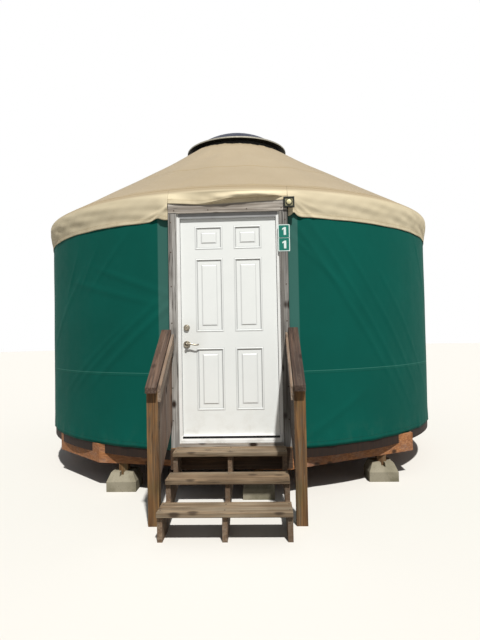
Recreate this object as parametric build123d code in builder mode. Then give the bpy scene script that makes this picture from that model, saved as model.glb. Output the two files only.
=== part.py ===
from build123d import *
from math import asin, atan, atan2, cos, degrees, radians, sin, sqrt, tan
import os

os.makedirs("parts", exist_ok=True)

# A canvas yurt of 16 feet on a timber platform. Millimetres, Z up, the door faces -Y.
# The origin is on the ground, under the middle of the centre pier block.
# Azimuths are in degrees from the door, positive towards +X.

# Sawn timber
board = 38
stud = 89
plank = 235
wide_plank = 286
joist_height = 184

# Levels above the ground
floor_top = 470
deck_thickness = 38
frame_top = floor_top - deck_thickness
frame_bottom = frame_top - joist_height
cover_lap = 35
cover_bottom = floor_top - cover_lap
band_depth = 125
band_bottom = floor_top - band_depth

# Radii of the wall and of the round floor, from the outside in
wall_radius = 2438
cover_thickness = 3
cover_inner = wall_radius - cover_thickness
band_thickness = 19
band_clearance = 4
band_radius = cover_inner - band_clearance
deck_radius = band_radius - band_thickness

# Doorway
front_face = -cover_inner
sill_height = 38
threshold_height = 52
threshold_gap = 8
leaf_width = 914
leaf_height = 2032
leaf_thickness = 44
leaf_bottom = floor_top + sill_height + threshold_height + threshold_gap
leaf_setback = 40
leaf_outer = front_face + leaf_setback
leaf_gap = 5
leaf_top = leaf_bottom + leaf_height
leaf_inner = leaf_outer + leaf_thickness
frame_thickness = 17
stop_width = 12
stop_clearance = 0.5
jamb_width = 76
jamb_inner = leaf_width / 2 + leaf_gap + frame_thickness
jamb_outer = jamb_inner + jamb_width
head_thickness = 38
beam_depth = 152
fascia_depth = 140
header_bottom = leaf_top + leaf_gap + head_thickness
header_top = header_bottom + beam_depth
header_setback = front_face + board
rest_gap = 0.3
timber_back = front_face + stud


def at(azimuth, radius):
    """Plan point at an azimuth from the door."""
    return (radius * sin(radians(azimuth)), -radius * cos(radians(azimuth)))


def sector(start, end, radius):
    """Corners of a wedge that covers the arc from start to end."""
    turn = (end - start) / 4
    reach = radius / cos(radians(turn / 2)) + board
    return [(0, 0)] + [at(start + step * turn, reach) for step in range(5)]


# Precast pier blocks with a post socket and slots for joists in the top
block_size = 290
block_height = 180
block_shoulder = 95
block_top = 215
slot_width = 41
slot_depth = 40
socket_size = 90
socket_depth = 60
pier_radius = wall_radius - 110
front_piers = [at(azimuth, pier_radius) for azimuth in (-28, 6, 40)]
pier_places = [(0, 0), (540 - wall_radius, 0), (wall_radius - 660, 0)]
pier_places += front_piers + [(x, -y) for x, y in front_piers]

with BuildPart() as pier_blocks:
    with Locations(*pier_places):
        Box(block_size, block_size, block_shoulder, align=(Align.CENTER, Align.CENTER, Align.MIN))
    with BuildSketch(Plane.XY.offset(block_shoulder)):
        with Locations(*pier_places):
            Rectangle(block_size, block_size)
    extrude(amount=block_height - block_shoulder,
            taper=degrees(atan((block_size - block_top) / 2 / (block_height - block_shoulder))))
    with BuildSketch(Plane.XY.offset(block_height)):
        with Locations(*pier_places):
            Rectangle(block_size, slot_width)
            Rectangle(slot_width, block_size)
    extrude(amount=-slot_depth, mode=Mode.SUBTRACT)
    with BuildSketch(Plane.XY.offset(block_height)):
        with Locations(*pier_places):
            Rectangle(socket_size, socket_size)
    extrude(amount=-socket_depth, mode=Mode.SUBTRACT)
pier_blocks.part.label = "pier_blocks"
export_step(pier_blocks.part, "parts/pier_blocks.step")

# Short posts from the block sockets to the underside of the frame
with BuildPart() as pier_posts:
    with BuildSketch(Plane.XY.offset(block_height - socket_depth)):
        with Locations(*pier_places):
            Rectangle(stud, stud)
    extrude(amount=frame_bottom - block_height + socket_depth)
pier_posts.part.label = "pier_posts"
export_step(pier_posts.part, "parts/pier_posts.step")

# Eight-sided rim of joists: the front corners, and the same at the back
front_corners = [(-54.5, 2), (-33.5, 17), (11.5, 17), (48.7, 52)]
corner_points = [at(azimuth, wall_radius + reach) for azimuth, reach in front_corners]
corner_points += [(x, -y) for x, y in reversed(corner_points)]
joint_gap = 1

with BuildPart() as platform_frame:
    with BuildSketch(Plane.XY.offset(frame_bottom)):
        Polygon(*corner_points, align=None)
        offset(amount=-board, kind=Kind.INTERSECTION, mode=Mode.SUBTRACT)
        for x, y in corner_points:
            with Locations((x, y)):
                Rectangle(4 * board, joint_gap, rotation=degrees(atan2(y, x)), mode=Mode.SUBTRACT)
    extrude(amount=joist_height)
platform_frame.part.label = "platform_frame"
export_step(platform_frame.part, "parts/platform_frame.step")

# Doubled beam across the middle, and joists at 16 inches from it to the rim
beam_thickness = 2 * board
joist_pitch = 400
joist_count = 9
beam_left = corner_points[0][0] + board
beam_right = corner_points[3][0] - board

with BuildPart() as centre_beam:
    with BuildSketch(Plane.XY.offset(frame_bottom)):
        with Locations(((beam_left + beam_right) / 2, 0)):
            Rectangle(beam_right - beam_left, beam_thickness)
    extrude(amount=joist_height)
centre_beam.part.label = "centre_beam"
export_step(centre_beam.part, "parts/centre_beam.step")

with BuildPart() as floor_joists:
    with BuildSketch(Plane.XY.offset(frame_bottom)):
        Polygon(*corner_points, align=None)
        offset(amount=-board, kind=Kind.INTERSECTION, mode=Mode.REPLACE)
        with GridLocations(joist_pitch, 0, joist_count, 1):
            Rectangle(board, 2 * deck_radius, mode=Mode.INTERSECT)
        Rectangle(2 * deck_radius, beam_thickness, mode=Mode.SUBTRACT)
    extrude(amount=joist_height)
floor_joists.part.label = "floor_joists"
export_step(floor_joists.part, "parts/floor_joists.step")

# Round deck with a straight nose under the door
with BuildPart() as floor_deck:
    with BuildSketch(Plane.XY.offset(frame_top)):
        Circle(deck_radius)
        with Locations((0, front_face / 2)):
            Rectangle(2 * jamb_outer, -front_face)
    extrude(amount=deck_thickness)
floor_deck.part.label = "floor_deck"
export_step(floor_deck.part, "parts/floor_deck.step")

# Dark band bent round the deck edge, in four lengths, cut where the frame corners pass
with BuildPart() as deck_band:
    with BuildSketch(Plane.XY.offset(band_bottom)):
        Circle(band_radius)
        Circle(deck_radius, mode=Mode.SUBTRACT)
        Rectangle(3 * deck_radius, joint_gap, mode=Mode.SUBTRACT)
        Rectangle(joint_gap, 3 * deck_radius, mode=Mode.SUBTRACT)
    extrude(amount=floor_top - band_bottom)
    with BuildSketch(Plane.XY.offset(band_bottom)):
        Polygon(*corner_points, align=None)
    extrude(amount=frame_top - band_bottom, mode=Mode.SUBTRACT)
    with Locations((0, front_face / 2, frame_top)):
        Box(2 * jamb_outer, -front_face, deck_thickness, align=(Align.CENTER, Align.CENTER, Align.MIN),
            mode=Mode.SUBTRACT)
deck_band.part.label = "deck_band"
export_step(deck_band.part, "parts/deck_band.step")

# Roof: the outside of the cover runs from the opening down to the eave, then hangs as a skirt
skirt_radius = wall_radius + 30
skirt_depth = 260
eave_level = header_top + 53
skirt_bottom = eave_level - skirt_depth
crown_radius = 618
roof_slope = 0.6
crown_level = eave_level + (skirt_radius - crown_radius) * roof_slope
eave_round = 45
roof_angle = atan(roof_slope)
door_hem = header_bottom + fascia_depth + cover_thickness
hem_left = -jamb_outer - 20
hem_right = jamb_outer + 30

# Rafters: notched over the cable at the wall, pinned into the ring at the crown
rafter_count = 24
rafter_turn = 360 / rafter_count
rafters_per_quarter = rafter_count // 4
rafter_tail = wall_radius + 2
roof_clearance = 1
cover_drop = (cover_thickness + roof_clearance) / cos(roof_angle)
rafter_drop = stud / cos(roof_angle)
seat_start = crown_radius + (crown_level - cover_drop - rafter_drop - header_top) / roof_slope
ring_apothem = crown_radius - 8
ring_inner = ring_apothem - 90
ring_height = 140
ring_top = crown_level - 15
rafter_pin = 19
pin_length = 60
notch_width = 8

# Lattice wall head: the cable runs along the inner face of the laths, level with the rafter seats
lattice_setback = 25
lattice_middle = cover_inner - lattice_setback
lath_thickness = 12
cable_radius = 2.5
cable_run = lattice_middle - lath_thickness - cable_radius - rest_gap
cable_level = header_top + cable_radius


def under_cover(radius):
    """Level of a rafter's top edge at a radius."""
    return crown_level + (crown_radius - radius) * roof_slope - cover_drop

# Lattice wall in three sections: flat laths in two layers, bolted where they cross.
# Each section has eleven flat faces, and what they leave free is the doorway with its battens.
lath_width = 38
batten_width = 75
batten_front = 60 - lattice_middle
batten_back = batten_front + 40
lattice_rows = 4
faces_per_panel = 11
lattice_start = degrees(atan(-(jamb_outer + batten_width) / batten_front))
face_angle = (180 - lattice_start) * 2 / 3 / faces_per_panel
panel_angle = faces_per_panel * face_angle
face_width = 2 * lattice_middle * tan(radians(face_angle / 2))
foot_height = 60
fork_height = 25
lattice_top = header_top + fork_height
first_crossing = floor_top + foot_height
lath_slope = (header_top - first_crossing) / lattice_rows / face_width
last_crossing = header_top - lath_width / 2 * sqrt(1 + lath_slope ** 2)
row_height = (last_crossing - first_crossing) / lattice_rows
lath_angle = degrees(atan(row_height / face_width))
lath_length = 1.3 * sqrt(row_height ** 2 + face_width ** 2)
mitre_lap = 1
joint_turn = degrees(rest_gap / lattice_middle)

with BuildPart() as lattice_face:
    for lean in (1, -1):
        with BuildSketch(Plane(origin=(0, -lattice_middle, 0), x_dir=(1, 0, 0), z_dir=(0, -1, 0))):
            for row in range(-1, lattice_rows + 1):
                with Locations((0, first_crossing + (row + 0.5) * row_height)):
                    Rectangle(lath_length, lath_width, rotation=lean * lath_angle)
            with Locations((0, (floor_top + lattice_top) / 2)):
                Rectangle(face_width + mitre_lap, lattice_top - floor_top, mode=Mode.INTERSECT)
        extrude(amount=lean * lath_thickness)

with BuildPart() as lattice_right:
    with PolarLocations(0, faces_per_panel, lattice_start + face_angle / 2, panel_angle):
        add(lattice_face.part)
    with BuildSketch(Plane.XY.offset(floor_top)):
        Polygon(*sector(lattice_start + joint_turn, lattice_start + panel_angle - joint_turn,
                        wall_radius), align=None)
    extrude(amount=lattice_top - floor_top, mode=Mode.INTERSECT)
lattice_right.part.label = "lattice_right"
export_step(lattice_right.part, "parts/lattice_right.step")

with BuildPart() as lattice_back:
    with Locations(Rotation(0, 0, panel_angle)):
        add(lattice_right.part)
lattice_back.part.label = "lattice_back"
export_step(lattice_back.part, "parts/lattice_back.step")

with BuildPart() as lattice_left:
    with Locations(Rotation(0, 0, 2 * panel_angle)):
        add(lattice_right.part)
lattice_left.part.label = "lattice_left"
export_step(lattice_left.part, "parts/lattice_left.step")

# Upright battens that join the lattice ends to the door jambs
batten_lap = 15
batten_slope = tan(radians(lattice_start))

with BuildPart() as lattice_end_battens:
    with BuildSketch(Plane.XY.offset(floor_top)):
        Polygon((jamb_outer, batten_front - batten_lap), (-batten_front * batten_slope, batten_front),
                (-batten_back * batten_slope, batten_back), (jamb_outer, batten_back), align=None)
        mirror(about=Plane.YZ)
    extrude(amount=header_bottom - floor_top)
lattice_end_battens.part.label = "lattice_end_battens"
export_step(lattice_end_battens.part, "parts/lattice_end_battens.step")

# Steel cable round the wall head, in the forks of the lattice and over the door header
with BuildPart() as tension_cable:
    with BuildSketch(Plane.XZ):
        with Locations((cable_run, cable_level)):
            Circle(cable_radius)
    revolve(axis=Axis.Z)
tension_cable.part.label = "tension_cable"
export_step(tension_cable.part, "parts/tension_cable.step")

# Wall cover in two widths of coated canvas, each from a jamb round to the back
cover_top = header_top - rest_gap
cover_start = degrees(asin((jamb_outer + joint_gap) / wall_radius))


def wall_cover(start, end):
    """One width of the wall cover between two azimuths."""
    with BuildPart() as cover:
        with BuildSketch(Plane.XY.offset(cover_bottom)):
            Circle(wall_radius)
            Circle(cover_inner, mode=Mode.SUBTRACT)
            Polygon(*sector(start, end, wall_radius), align=None, mode=Mode.INTERSECT)
        extrude(amount=cover_top - cover_bottom)
    return cover.part


with BuildPart() as wall_cover_right:
    add(wall_cover(cover_start, 180))
wall_cover_right.part.label = "wall_cover_right"
export_step(wall_cover_right.part, "parts/wall_cover_right.step")

with BuildPart() as wall_cover_left:
    add(wall_cover(180, 360 - cover_start))
wall_cover_left.part.label = "wall_cover_left"
export_step(wall_cover_left.part, "parts/wall_cover_left.step")

with BuildPart() as roof_cover_whole:
    with BuildSketch(Plane.XZ):
        with BuildLine() as roof_line:
            roof_run = Polyline((crown_radius, crown_level), (skirt_radius, eave_level),
                                (skirt_radius, skirt_bottom))
            fillet(roof_line.vertices().sort_by(Axis.X)[1:].sort_by(Axis.Z)[-1:], eave_round)
            offset(amount=cover_thickness, side=Side.RIGHT)
        make_face()
    revolve(axis=Axis.Z)
    with Locations(((hem_left + hem_right) / 2, -skirt_radius, door_hem)):
        Box(hem_right - hem_left, skirt_radius, door_hem - skirt_bottom + board,
            align=(Align.CENTER, Align.CENTER, Align.MAX), mode=Mode.SUBTRACT)


def roof_quarter(start):
    """A quarter of the roof cover, from an azimuth on."""
    with BuildPart() as quarter:
        add(roof_cover_whole.part)
        with BuildSketch():
            Polygon(*sector(start, start + 90, skirt_radius), align=None)
        extrude(amount=crown_level + board, mode=Mode.INTERSECT)
    return quarter.part


with BuildPart() as roof_cover_front:
    add(roof_quarter(-45))
roof_cover_front.part.label = "roof_cover_front"
export_step(roof_cover_front.part, "parts/roof_cover_front.step")

with BuildPart() as roof_cover_right:
    add(roof_quarter(45))
roof_cover_right.part.label = "roof_cover_right"
export_step(roof_cover_right.part, "parts/roof_cover_right.step")

with BuildPart() as roof_cover_back:
    add(roof_quarter(135))
roof_cover_back.part.label = "roof_cover_back"
export_step(roof_cover_back.part, "parts/roof_cover_back.step")

with BuildPart() as roof_cover_left:
    add(roof_quarter(225))
roof_cover_left.part.label = "roof_cover_left"
export_step(roof_cover_left.part, "parts/roof_cover_left.step")


# Rafters: a level seat and a cable notch at the wall, a pin at the crown
with BuildPart() as one_rafter:
    with BuildSketch(Plane.XZ):
        Polygon((ring_apothem, under_cover(ring_apothem)), (rafter_tail, under_cover(rafter_tail)),
                (rafter_tail, header_top), (seat_start, header_top),
                (ring_apothem, under_cover(ring_apothem) - rafter_drop), align=None)
        with Locations((cable_run, cable_level + cable_radius)):
            Rectangle(notch_width, stud, align=(Align.CENTER, Align.MAX), mode=Mode.SUBTRACT)
    extrude(amount=board / 2, both=True)
    with BuildSketch(Plane(origin=(ring_apothem, 0, under_cover(ring_apothem) - rafter_drop / 2),
                           z_dir=(-1, 0, 0))):
        Circle(rafter_pin / 2)
    extrude(amount=pin_length)

with BuildPart() as rafters:
    with PolarLocations(0, rafter_count, rafter_turn / 2):
        add(one_rafter.part)
rafters.part.label = "rafters"
export_step(rafters.part, "parts/rafters.step")

# Compression ring: a flat for each rafter, a pin hole in each flat
with BuildPart() as centre_ring:
    with BuildSketch(Plane.XY.offset(ring_top - ring_height)):
        RegularPolygon(ring_apothem, rafter_count, major_radius=False)
        Circle(ring_inner, mode=Mode.SUBTRACT)
    extrude(amount=ring_height)
    with BuildSketch(Plane(origin=(ring_apothem, 0, under_cover(ring_apothem) - rafter_drop / 2),
                           z_dir=(-1, 0, 0))):
        Circle((rafter_pin + rest_gap) / 2)
    pin_hole = extrude(amount=pin_length + rest_gap, mode=Mode.PRIVATE)
    with PolarLocations(0, rafter_count, rafter_turn / 2):
        add(pin_hole, mode=Mode.SUBTRACT)
    chamfer(centre_ring.edges().filter_by(GeomType.CIRCLE).filter_by(
        lambda edge: edge.radius > ring_inner - 1), 6)
centre_ring.part.label = "centre_ring"
export_step(centre_ring.part, "parts/centre_ring.step")

# Skylight: flanged curb on the ring, tinted dome, metal rim folded over its edge
curb_inner = ring_inner + 40
curb_outer = crown_radius - 18
curb_rise = 79
base_level = ring_top + curb_rise
base_radius = crown_radius + 67
base_thickness = 16
dome_level = base_level + base_thickness
dome_thickness = 4
dome_radius = base_radius - 45
dome_rise = 250
flange_inner = dome_radius - 20
rim_thickness = 3
rim_depth = 26
rim_cover = 24
dome_sphere = (dome_radius ** 2 + dome_rise ** 2) / (2 * dome_rise)
dome_centre = dome_level + dome_rise - dome_sphere

with BuildPart() as dome_curb:
    with BuildSketch(Plane.XZ):
        with Locations((curb_inner, ring_top)):
            Rectangle(curb_outer - curb_inner, dome_level - ring_top, align=Align.MIN)
        with Locations((curb_inner, base_level)):
            Rectangle(base_radius - curb_inner, base_thickness, align=Align.MIN)
    revolve(axis=Axis.Z)
dome_curb.part.label = "dome_curb"
export_step(dome_curb.part, "parts/dome_curb.step")

with BuildPart() as dome_skylight:
    with BuildSketch(Plane.XZ):
        with Locations((0, dome_centre)):
            Circle(dome_sphere)
            Circle(dome_sphere - dome_thickness, mode=Mode.SUBTRACT)
        with Locations((0, dome_level)):
            Rectangle(dome_radius, dome_rise, align=Align.MIN, mode=Mode.INTERSECT)
        with Locations((flange_inner, dome_level)):
            Rectangle(base_radius - flange_inner, dome_thickness, align=Align.MIN)
    revolve(axis=Axis.Z)
dome_skylight.part.label = "dome_skylight"
export_step(dome_skylight.part, "parts/dome_skylight.step")

with BuildPart() as dome_rim:
    with BuildSketch(Plane.XZ):
        with Locations((base_radius - rim_cover, dome_level + dome_thickness)):
            Rectangle(rim_cover + rim_thickness, rim_thickness, align=Align.MIN)
        with Locations((base_radius, dome_level + dome_thickness + rim_thickness)):
            Rectangle(rim_thickness, rim_depth + rim_thickness, align=(Align.MIN, Align.MAX))
    revolve(axis=Axis.Z)
dome_rim.part.label = "dome_rim"
export_step(dome_rim.part, "parts/dome_rim.step")

# Door opening: timber jambs, header board with a deeper beam behind it, sill and white frame
frame_front = front_face + 20
threshold_front = front_face + 10
threshold_back = front_face + 95
lip_height = 7

with BuildPart() as door_jambs:
    with BuildSketch(Plane.XY.offset(floor_top)):
        with Locations((jamb_inner, front_face)):
            Rectangle(jamb_width, stud, align=Align.MIN)
    extrude(amount=header_bottom - floor_top)
    mirror(about=Plane.YZ)
door_jambs.part.label = "door_jambs"
export_step(door_jambs.part, "parts/door_jambs.step")

with BuildPart() as door_header:
    with BuildSketch(Plane.XY.offset(header_bottom)):
        with Locations((0, front_face)):
            Rectangle(2 * jamb_outer, board, align=(Align.CENTER, Align.MIN))
    extrude(amount=fascia_depth)
door_header.part.label = "door_header"
export_step(door_header.part, "parts/door_header.step")

with BuildPart() as header_beam:
    with BuildSketch(Plane.XY.offset(header_bottom)):
        with Locations((0, timber_back)):
            Rectangle(2 * jamb_outer, timber_back - header_setback, align=(Align.CENTER, Align.MAX))
    extrude(amount=header_top - header_bottom)
header_beam.part.label = "header_beam"
export_step(header_beam.part, "parts/header_beam.step")

with BuildPart() as door_sill:
    with BuildSketch(Plane.XY.offset(floor_top)):
        with Locations((0, front_face)):
            Rectangle(2 * jamb_inner, stud, align=(Align.CENTER, Align.MIN))
    extrude(amount=sill_height)
door_sill.part.label = "door_sill"
export_step(door_sill.part, "parts/door_sill.step")

with BuildPart() as door_threshold:
    with BuildSketch(Plane.YZ):
        Polygon((threshold_front, floor_top + sill_height),
                (threshold_back, floor_top + sill_height),
                (threshold_back, floor_top + sill_height + threshold_height),
                (leaf_outer - stop_clearance, floor_top + sill_height + threshold_height),
                (leaf_outer - stop_clearance, leaf_bottom + lip_height),
                (frame_front, leaf_bottom + lip_height),
                (threshold_front, floor_top + sill_height + threshold_height / 2), align=None)
    extrude(amount=jamb_inner - frame_thickness, both=True)
door_threshold.part.label = "door_threshold"
export_step(door_threshold.part, "parts/door_threshold.step")

with BuildPart() as door_frame_sides:
    with BuildSketch(Plane.XY.offset(floor_top + sill_height)):
        with Locations((jamb_inner, frame_front)):
            Rectangle(frame_thickness, leaf_inner - frame_front, align=(Align.MAX, Align.MIN))
    extrude(amount=header_bottom - floor_top - sill_height)
    with BuildSketch(Plane.XY.offset(leaf_bottom + lip_height)):
        with Locations((jamb_inner - frame_thickness, frame_front)):
            Rectangle(stop_width, leaf_outer - stop_clearance - frame_front, align=(Align.MAX, Align.MIN))
    extrude(amount=leaf_top + leaf_gap - leaf_bottom - lip_height)
    mirror(about=Plane.YZ)
door_frame_sides.part.label = "door_frame_sides"
export_step(door_frame_sides.part, "parts/door_frame_sides.step")

with BuildPart() as door_frame_head:
    with BuildSketch(Plane.YZ):
        with Locations((frame_front, leaf_top + leaf_gap)):
            Rectangle(leaf_inner - frame_front, head_thickness, align=Align.MIN)
    extrude(amount=jamb_inner - frame_thickness, both=True)
    with BuildSketch(Plane.YZ):
        with Locations((frame_front, leaf_top + leaf_gap)):
            Rectangle(leaf_outer - stop_clearance - frame_front, stop_width, align=(Align.MIN, Align.MAX))
    extrude(amount=jamb_inner - frame_thickness - stop_width, both=True)
door_frame_head.part.label = "door_frame_head"
export_step(door_frame_head.part, "parts/door_frame_head.step")

# Steel door leaf with six raised panels on both faces
panel_inner = 66
panel_width = 232
panel_recess = 6
field_margin = 46
field_rise = 5
moulding_taper = 45
field_taper = 60
bottom_rail = 249
top_rail = 92
low_panel = 553
top_panel = 192
lock_rail = 175
upper_rail = 111
low_panel_top = leaf_bottom + bottom_rail + low_panel
top_panel_bottom = leaf_top - top_rail - top_panel
panel_levels = [(leaf_bottom + bottom_rail, low_panel_top),
                (low_panel_top + lock_rail, top_panel_bottom - upper_rail),
                (top_panel_bottom, leaf_top - top_rail)]
lock_setback = 56
lock_x = lock_setback - leaf_width / 2
lever_height_on_leaf = 852
bolt_rise = 155
lever_level = leaf_bottom + lever_height_on_leaf
bolt_level = lever_level + bolt_rise
spindle_radius = 6
spindle_hole = 8
leaf_middle = (leaf_outer + leaf_inner) / 2

with BuildPart() as door_leaf:
    with BuildSketch(Plane.XY.offset(leaf_bottom)):
        with Locations((0, leaf_outer)):
            Rectangle(leaf_width, leaf_thickness, align=(Align.CENTER, Align.MIN))
    extrude(amount=leaf_height)
    for face_level, way in ((leaf_outer, 1), (leaf_inner, -1)):
        with BuildSketch(Plane(origin=(0, face_level, 0), x_dir=(way, 0, 0), z_dir=(0, -way, 0))):
            for low, high in panel_levels:
                for side in (1, -1):
                    with Locations((side * (panel_inner + panel_width / 2), (low + high) / 2)):
                        Rectangle(panel_width, high - low)
        extrude(amount=-panel_recess, taper=moulding_taper, mode=Mode.SUBTRACT)
        with BuildSketch(Plane(origin=(0, face_level + way * panel_recess, 0), x_dir=(way, 0, 0),
                               z_dir=(0, -way, 0))):
            for low, high in panel_levels:
                for side in (1, -1):
                    with Locations((side * (panel_inner + panel_width / 2), (low + high) / 2)):
                        Rectangle(panel_width - 2 * field_margin, high - low - 2 * field_margin)
        extrude(amount=field_rise, taper=field_taper)
    with Locations(Plane(origin=(lock_x, leaf_middle, lever_level), z_dir=(0, 1, 0))):
        Cylinder(spindle_hole, 2 * leaf_thickness, mode=Mode.SUBTRACT)
door_leaf.part.label = "door_leaf"
export_step(door_leaf.part, "parts/door_leaf.step")

# Hinges: pins and outer knuckles on the frame, middle knuckles on the leaf
hinge_height = 100
low_hinge = leaf_bottom + 279
high_hinge = leaf_top - 178 - hinge_height
hinge_levels = [low_hinge, (low_hinge + high_hinge) / 2, high_hinge]
knuckle_radius = 6
pin_radius = 3
plate_thickness = 1.6
plate_depth = 34
hinge_x = (leaf_width + leaf_gap) / 2
hinge_y = leaf_inner + knuckle_radius + plate_thickness
knuckle_share = hinge_height / 3
frame_side = jamb_inner - frame_thickness

with BuildPart() as hinge_frame_plates:
    for level in hinge_levels:
        with BuildSketch(Plane.XY.offset(level)):
            with Locations((frame_side, leaf_inner)):
                Rectangle(plate_thickness, plate_depth, align=Align.MAX)
        extrude(amount=hinge_height)
        for knuckle_level in (level, level + 2 * knuckle_share):
            with BuildSketch(Plane.XY.offset(knuckle_level)):
                with Locations((frame_side, leaf_inner)):
                    Rectangle(plate_thickness, hinge_y - leaf_inner, align=(Align.MAX, Align.MIN))
                with Locations((hinge_x, hinge_y)):
                    Circle(knuckle_radius)
            extrude(amount=knuckle_share)
        with BuildSketch(Plane.XY.offset(level)):
            with Locations((hinge_x, hinge_y)):
                Circle(pin_radius)
        extrude(amount=hinge_height)
hinge_frame_plates.part.label = "hinge_frame_plates"
export_step(hinge_frame_plates.part, "parts/hinge_frame_plates.step")

with BuildPart() as hinge_door_plates:
    for level in hinge_levels:
        with BuildSketch(Plane.XY.offset(level)):
            with Locations((leaf_width / 2, leaf_inner)):
                Rectangle(plate_thickness, plate_depth, align=(Align.MIN, Align.MAX))
        extrude(amount=hinge_height)
        with BuildSketch(Plane.XY.offset(level + knuckle_share + rest_gap)):
            with Locations((leaf_width / 2, leaf_inner)):
                Rectangle(plate_thickness, hinge_y - leaf_inner, align=Align.MIN)
            with Locations((hinge_x, hinge_y)):
                Circle(knuckle_radius)
                Circle(pin_radius + rest_gap, mode=Mode.SUBTRACT)
        extrude(amount=knuckle_share - 2 * rest_gap)
hinge_door_plates.part.label = "hinge_door_plates"
export_step(hinge_door_plates.part, "parts/hinge_door_plates.step")

# Lever set and deadbolt
rose_radius = 33
rose_thickness = 9
hub_radius = 11
hub_length = 34
lever_reach = 118
lever_height = 18
lever_thickness = 12
rose_hole = spindle_radius + rest_gap
thumb_turn = 30
bolt_radius = 30
bolt_thickness = 14
bolt_face = 21

with BuildPart() as lever_roses:
    with BuildSketch(Plane(origin=(lock_x, leaf_outer, lever_level), z_dir=(0, -1, 0))):
        Circle(rose_radius)
        Circle(rose_hole, mode=Mode.SUBTRACT)
    extrude(amount=rose_thickness, taper=12)
    with BuildSketch(Plane(origin=(lock_x, leaf_inner, lever_level), z_dir=(0, 1, 0))):
        Circle(rose_radius)
        Circle(rose_hole, mode=Mode.SUBTRACT)
    extrude(amount=rose_thickness, taper=12)
lever_roses.part.label = "lever_roses"
export_step(lever_roses.part, "parts/lever_roses.step")

with BuildPart() as lever_handle:
    with Locations(Plane(origin=(lock_x, leaf_middle, lever_level), z_dir=(0, 1, 0))):
        Cylinder(spindle_radius, leaf_thickness + 2 * (rose_thickness + hub_length))
    for face_level, way in ((leaf_outer, -1), (leaf_inner, 1)):
        hub_start = face_level + way * (rose_thickness + rest_gap)
        with BuildSketch(Plane(origin=(lock_x, hub_start, lever_level), z_dir=(0, way, 0))):
            Circle(hub_radius)
        extrude(amount=hub_length)
        with BuildSketch(Plane(origin=(lock_x, hub_start + way * (hub_length - lever_thickness), lever_level),
                               x_dir=(1, 0, 0), z_dir=(0, way, 0))):
            with Locations(((lever_reach - hub_radius) / 2, 0)):
                SlotOverall(lever_reach + hub_radius, lever_height)
        extrude(amount=lever_thickness)
lever_handle.part.label = "lever_handle"
export_step(lever_handle.part, "parts/lever_handle.step")

with BuildPart() as deadbolt:
    with BuildSketch(Plane(origin=(lock_x, leaf_outer, bolt_level), z_dir=(0, -1, 0))):
        Circle(bolt_radius)
    extrude(amount=bolt_thickness, taper=20)
    with BuildSketch(Plane(origin=(lock_x, leaf_outer - bolt_thickness, bolt_level), z_dir=(0, -1, 0))):
        Circle(bolt_face)
    extrude(amount=2)
    with BuildSketch(Plane(origin=(lock_x, leaf_inner, bolt_level), z_dir=(0, 1, 0))):
        Circle(bolt_radius)
    extrude(amount=bolt_thickness / 2)
    with BuildSketch(Plane(origin=(lock_x, leaf_inner + bolt_thickness / 2, bolt_level), z_dir=(0, 1, 0))):
        SlotOverall(2 * thumb_turn / 2 + lever_thickness, lever_thickness, rotation=90)
    extrude(amount=bolt_face)
deadbolt.part.label = "deadbolt"
export_step(deadbolt.part, "parts/deadbolt.step")

# Two number plates on the right jamb and a square lamp at the end of the header
plate_x = jamb_inner + 44
plate_size = (100, 124)
plate_levels = (leaf_top - 148, leaf_top - 279)
number_plate_thickness = 3
lamp_x = jamb_outer + 18
lamp_level = header_bottom + 73
lamp_size = 100
lamp_depth = 26
lens_radius = 27
lens_depth = 6

with BuildPart() as number_plates:
    with BuildSketch(Plane(origin=(0, front_face, 0), x_dir=(1, 0, 0), z_dir=(0, -1, 0))):
        with Locations(*[(plate_x, level) for level in plate_levels]):
            RectangleRounded(plate_size[0], plate_size[1], 6)
    extrude(amount=number_plate_thickness)
number_plates.part.label = "number_plates"
export_step(number_plates.part, "parts/number_plates.step")

with BuildPart() as door_lamp:
    with BuildSketch(Plane(origin=(lamp_x, front_face, lamp_level), x_dir=(1, 0, 0), z_dir=(0, -1, 0))):
        RectangleRounded(lamp_size, lamp_size, 8)
    extrude(amount=lamp_depth)
    chamfer(door_lamp.faces().sort_by(Axis.Y)[0].edges(), 5)
door_lamp.part.label = "door_lamp"
export_step(door_lamp.part, "parts/door_lamp.step")

with BuildPart() as lamp_lens:
    with BuildSketch(Plane(origin=(lamp_x, front_face - lamp_depth, lamp_level), z_dir=(0, -1, 0))):
        Circle(lens_radius)
    extrude(amount=lens_depth, taper=30)
lamp_lens.part.label = "lamp_lens"
export_step(lamp_lens.part, "parts/lamp_lens.step")

# Steps: ledger on the deck nose, three sawn stringers, three treads
ledger_half = jamb_outer
ledger_top = floor_top - 5
ledger_face = front_face - board
tread_half = jamb_inner + 16
tread_depth = plank
tread_run = 360
tread_rise = 133
tread_fronts = [front_face - 275 - step * tread_run for step in range(3)]
tread_tops = [floor_top + 18 - step * tread_rise for step in range(3)]
tread_nosing = 25
tread_bevel = 4
stringer_places = (board / 2 - tread_half, 0, tread_half - board / 2)
stringer_foot = 215
seat_levels = [top - board for top in tread_tops]
riser_faces = [front + tread_nosing for front in tread_fronts]
foot_back = riser_faces[2] + stringer_foot

with BuildPart() as stair_ledger:
    with BuildSketch(Plane.XY.offset(ledger_top - joist_height)):
        with Locations((0, front_face)):
            Rectangle(2 * ledger_half, board, align=(Align.CENTER, Align.MAX))
    extrude(amount=joist_height)
stair_ledger.part.label = "stair_ledger"
export_step(stair_ledger.part, "parts/stair_ledger.step")

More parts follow.
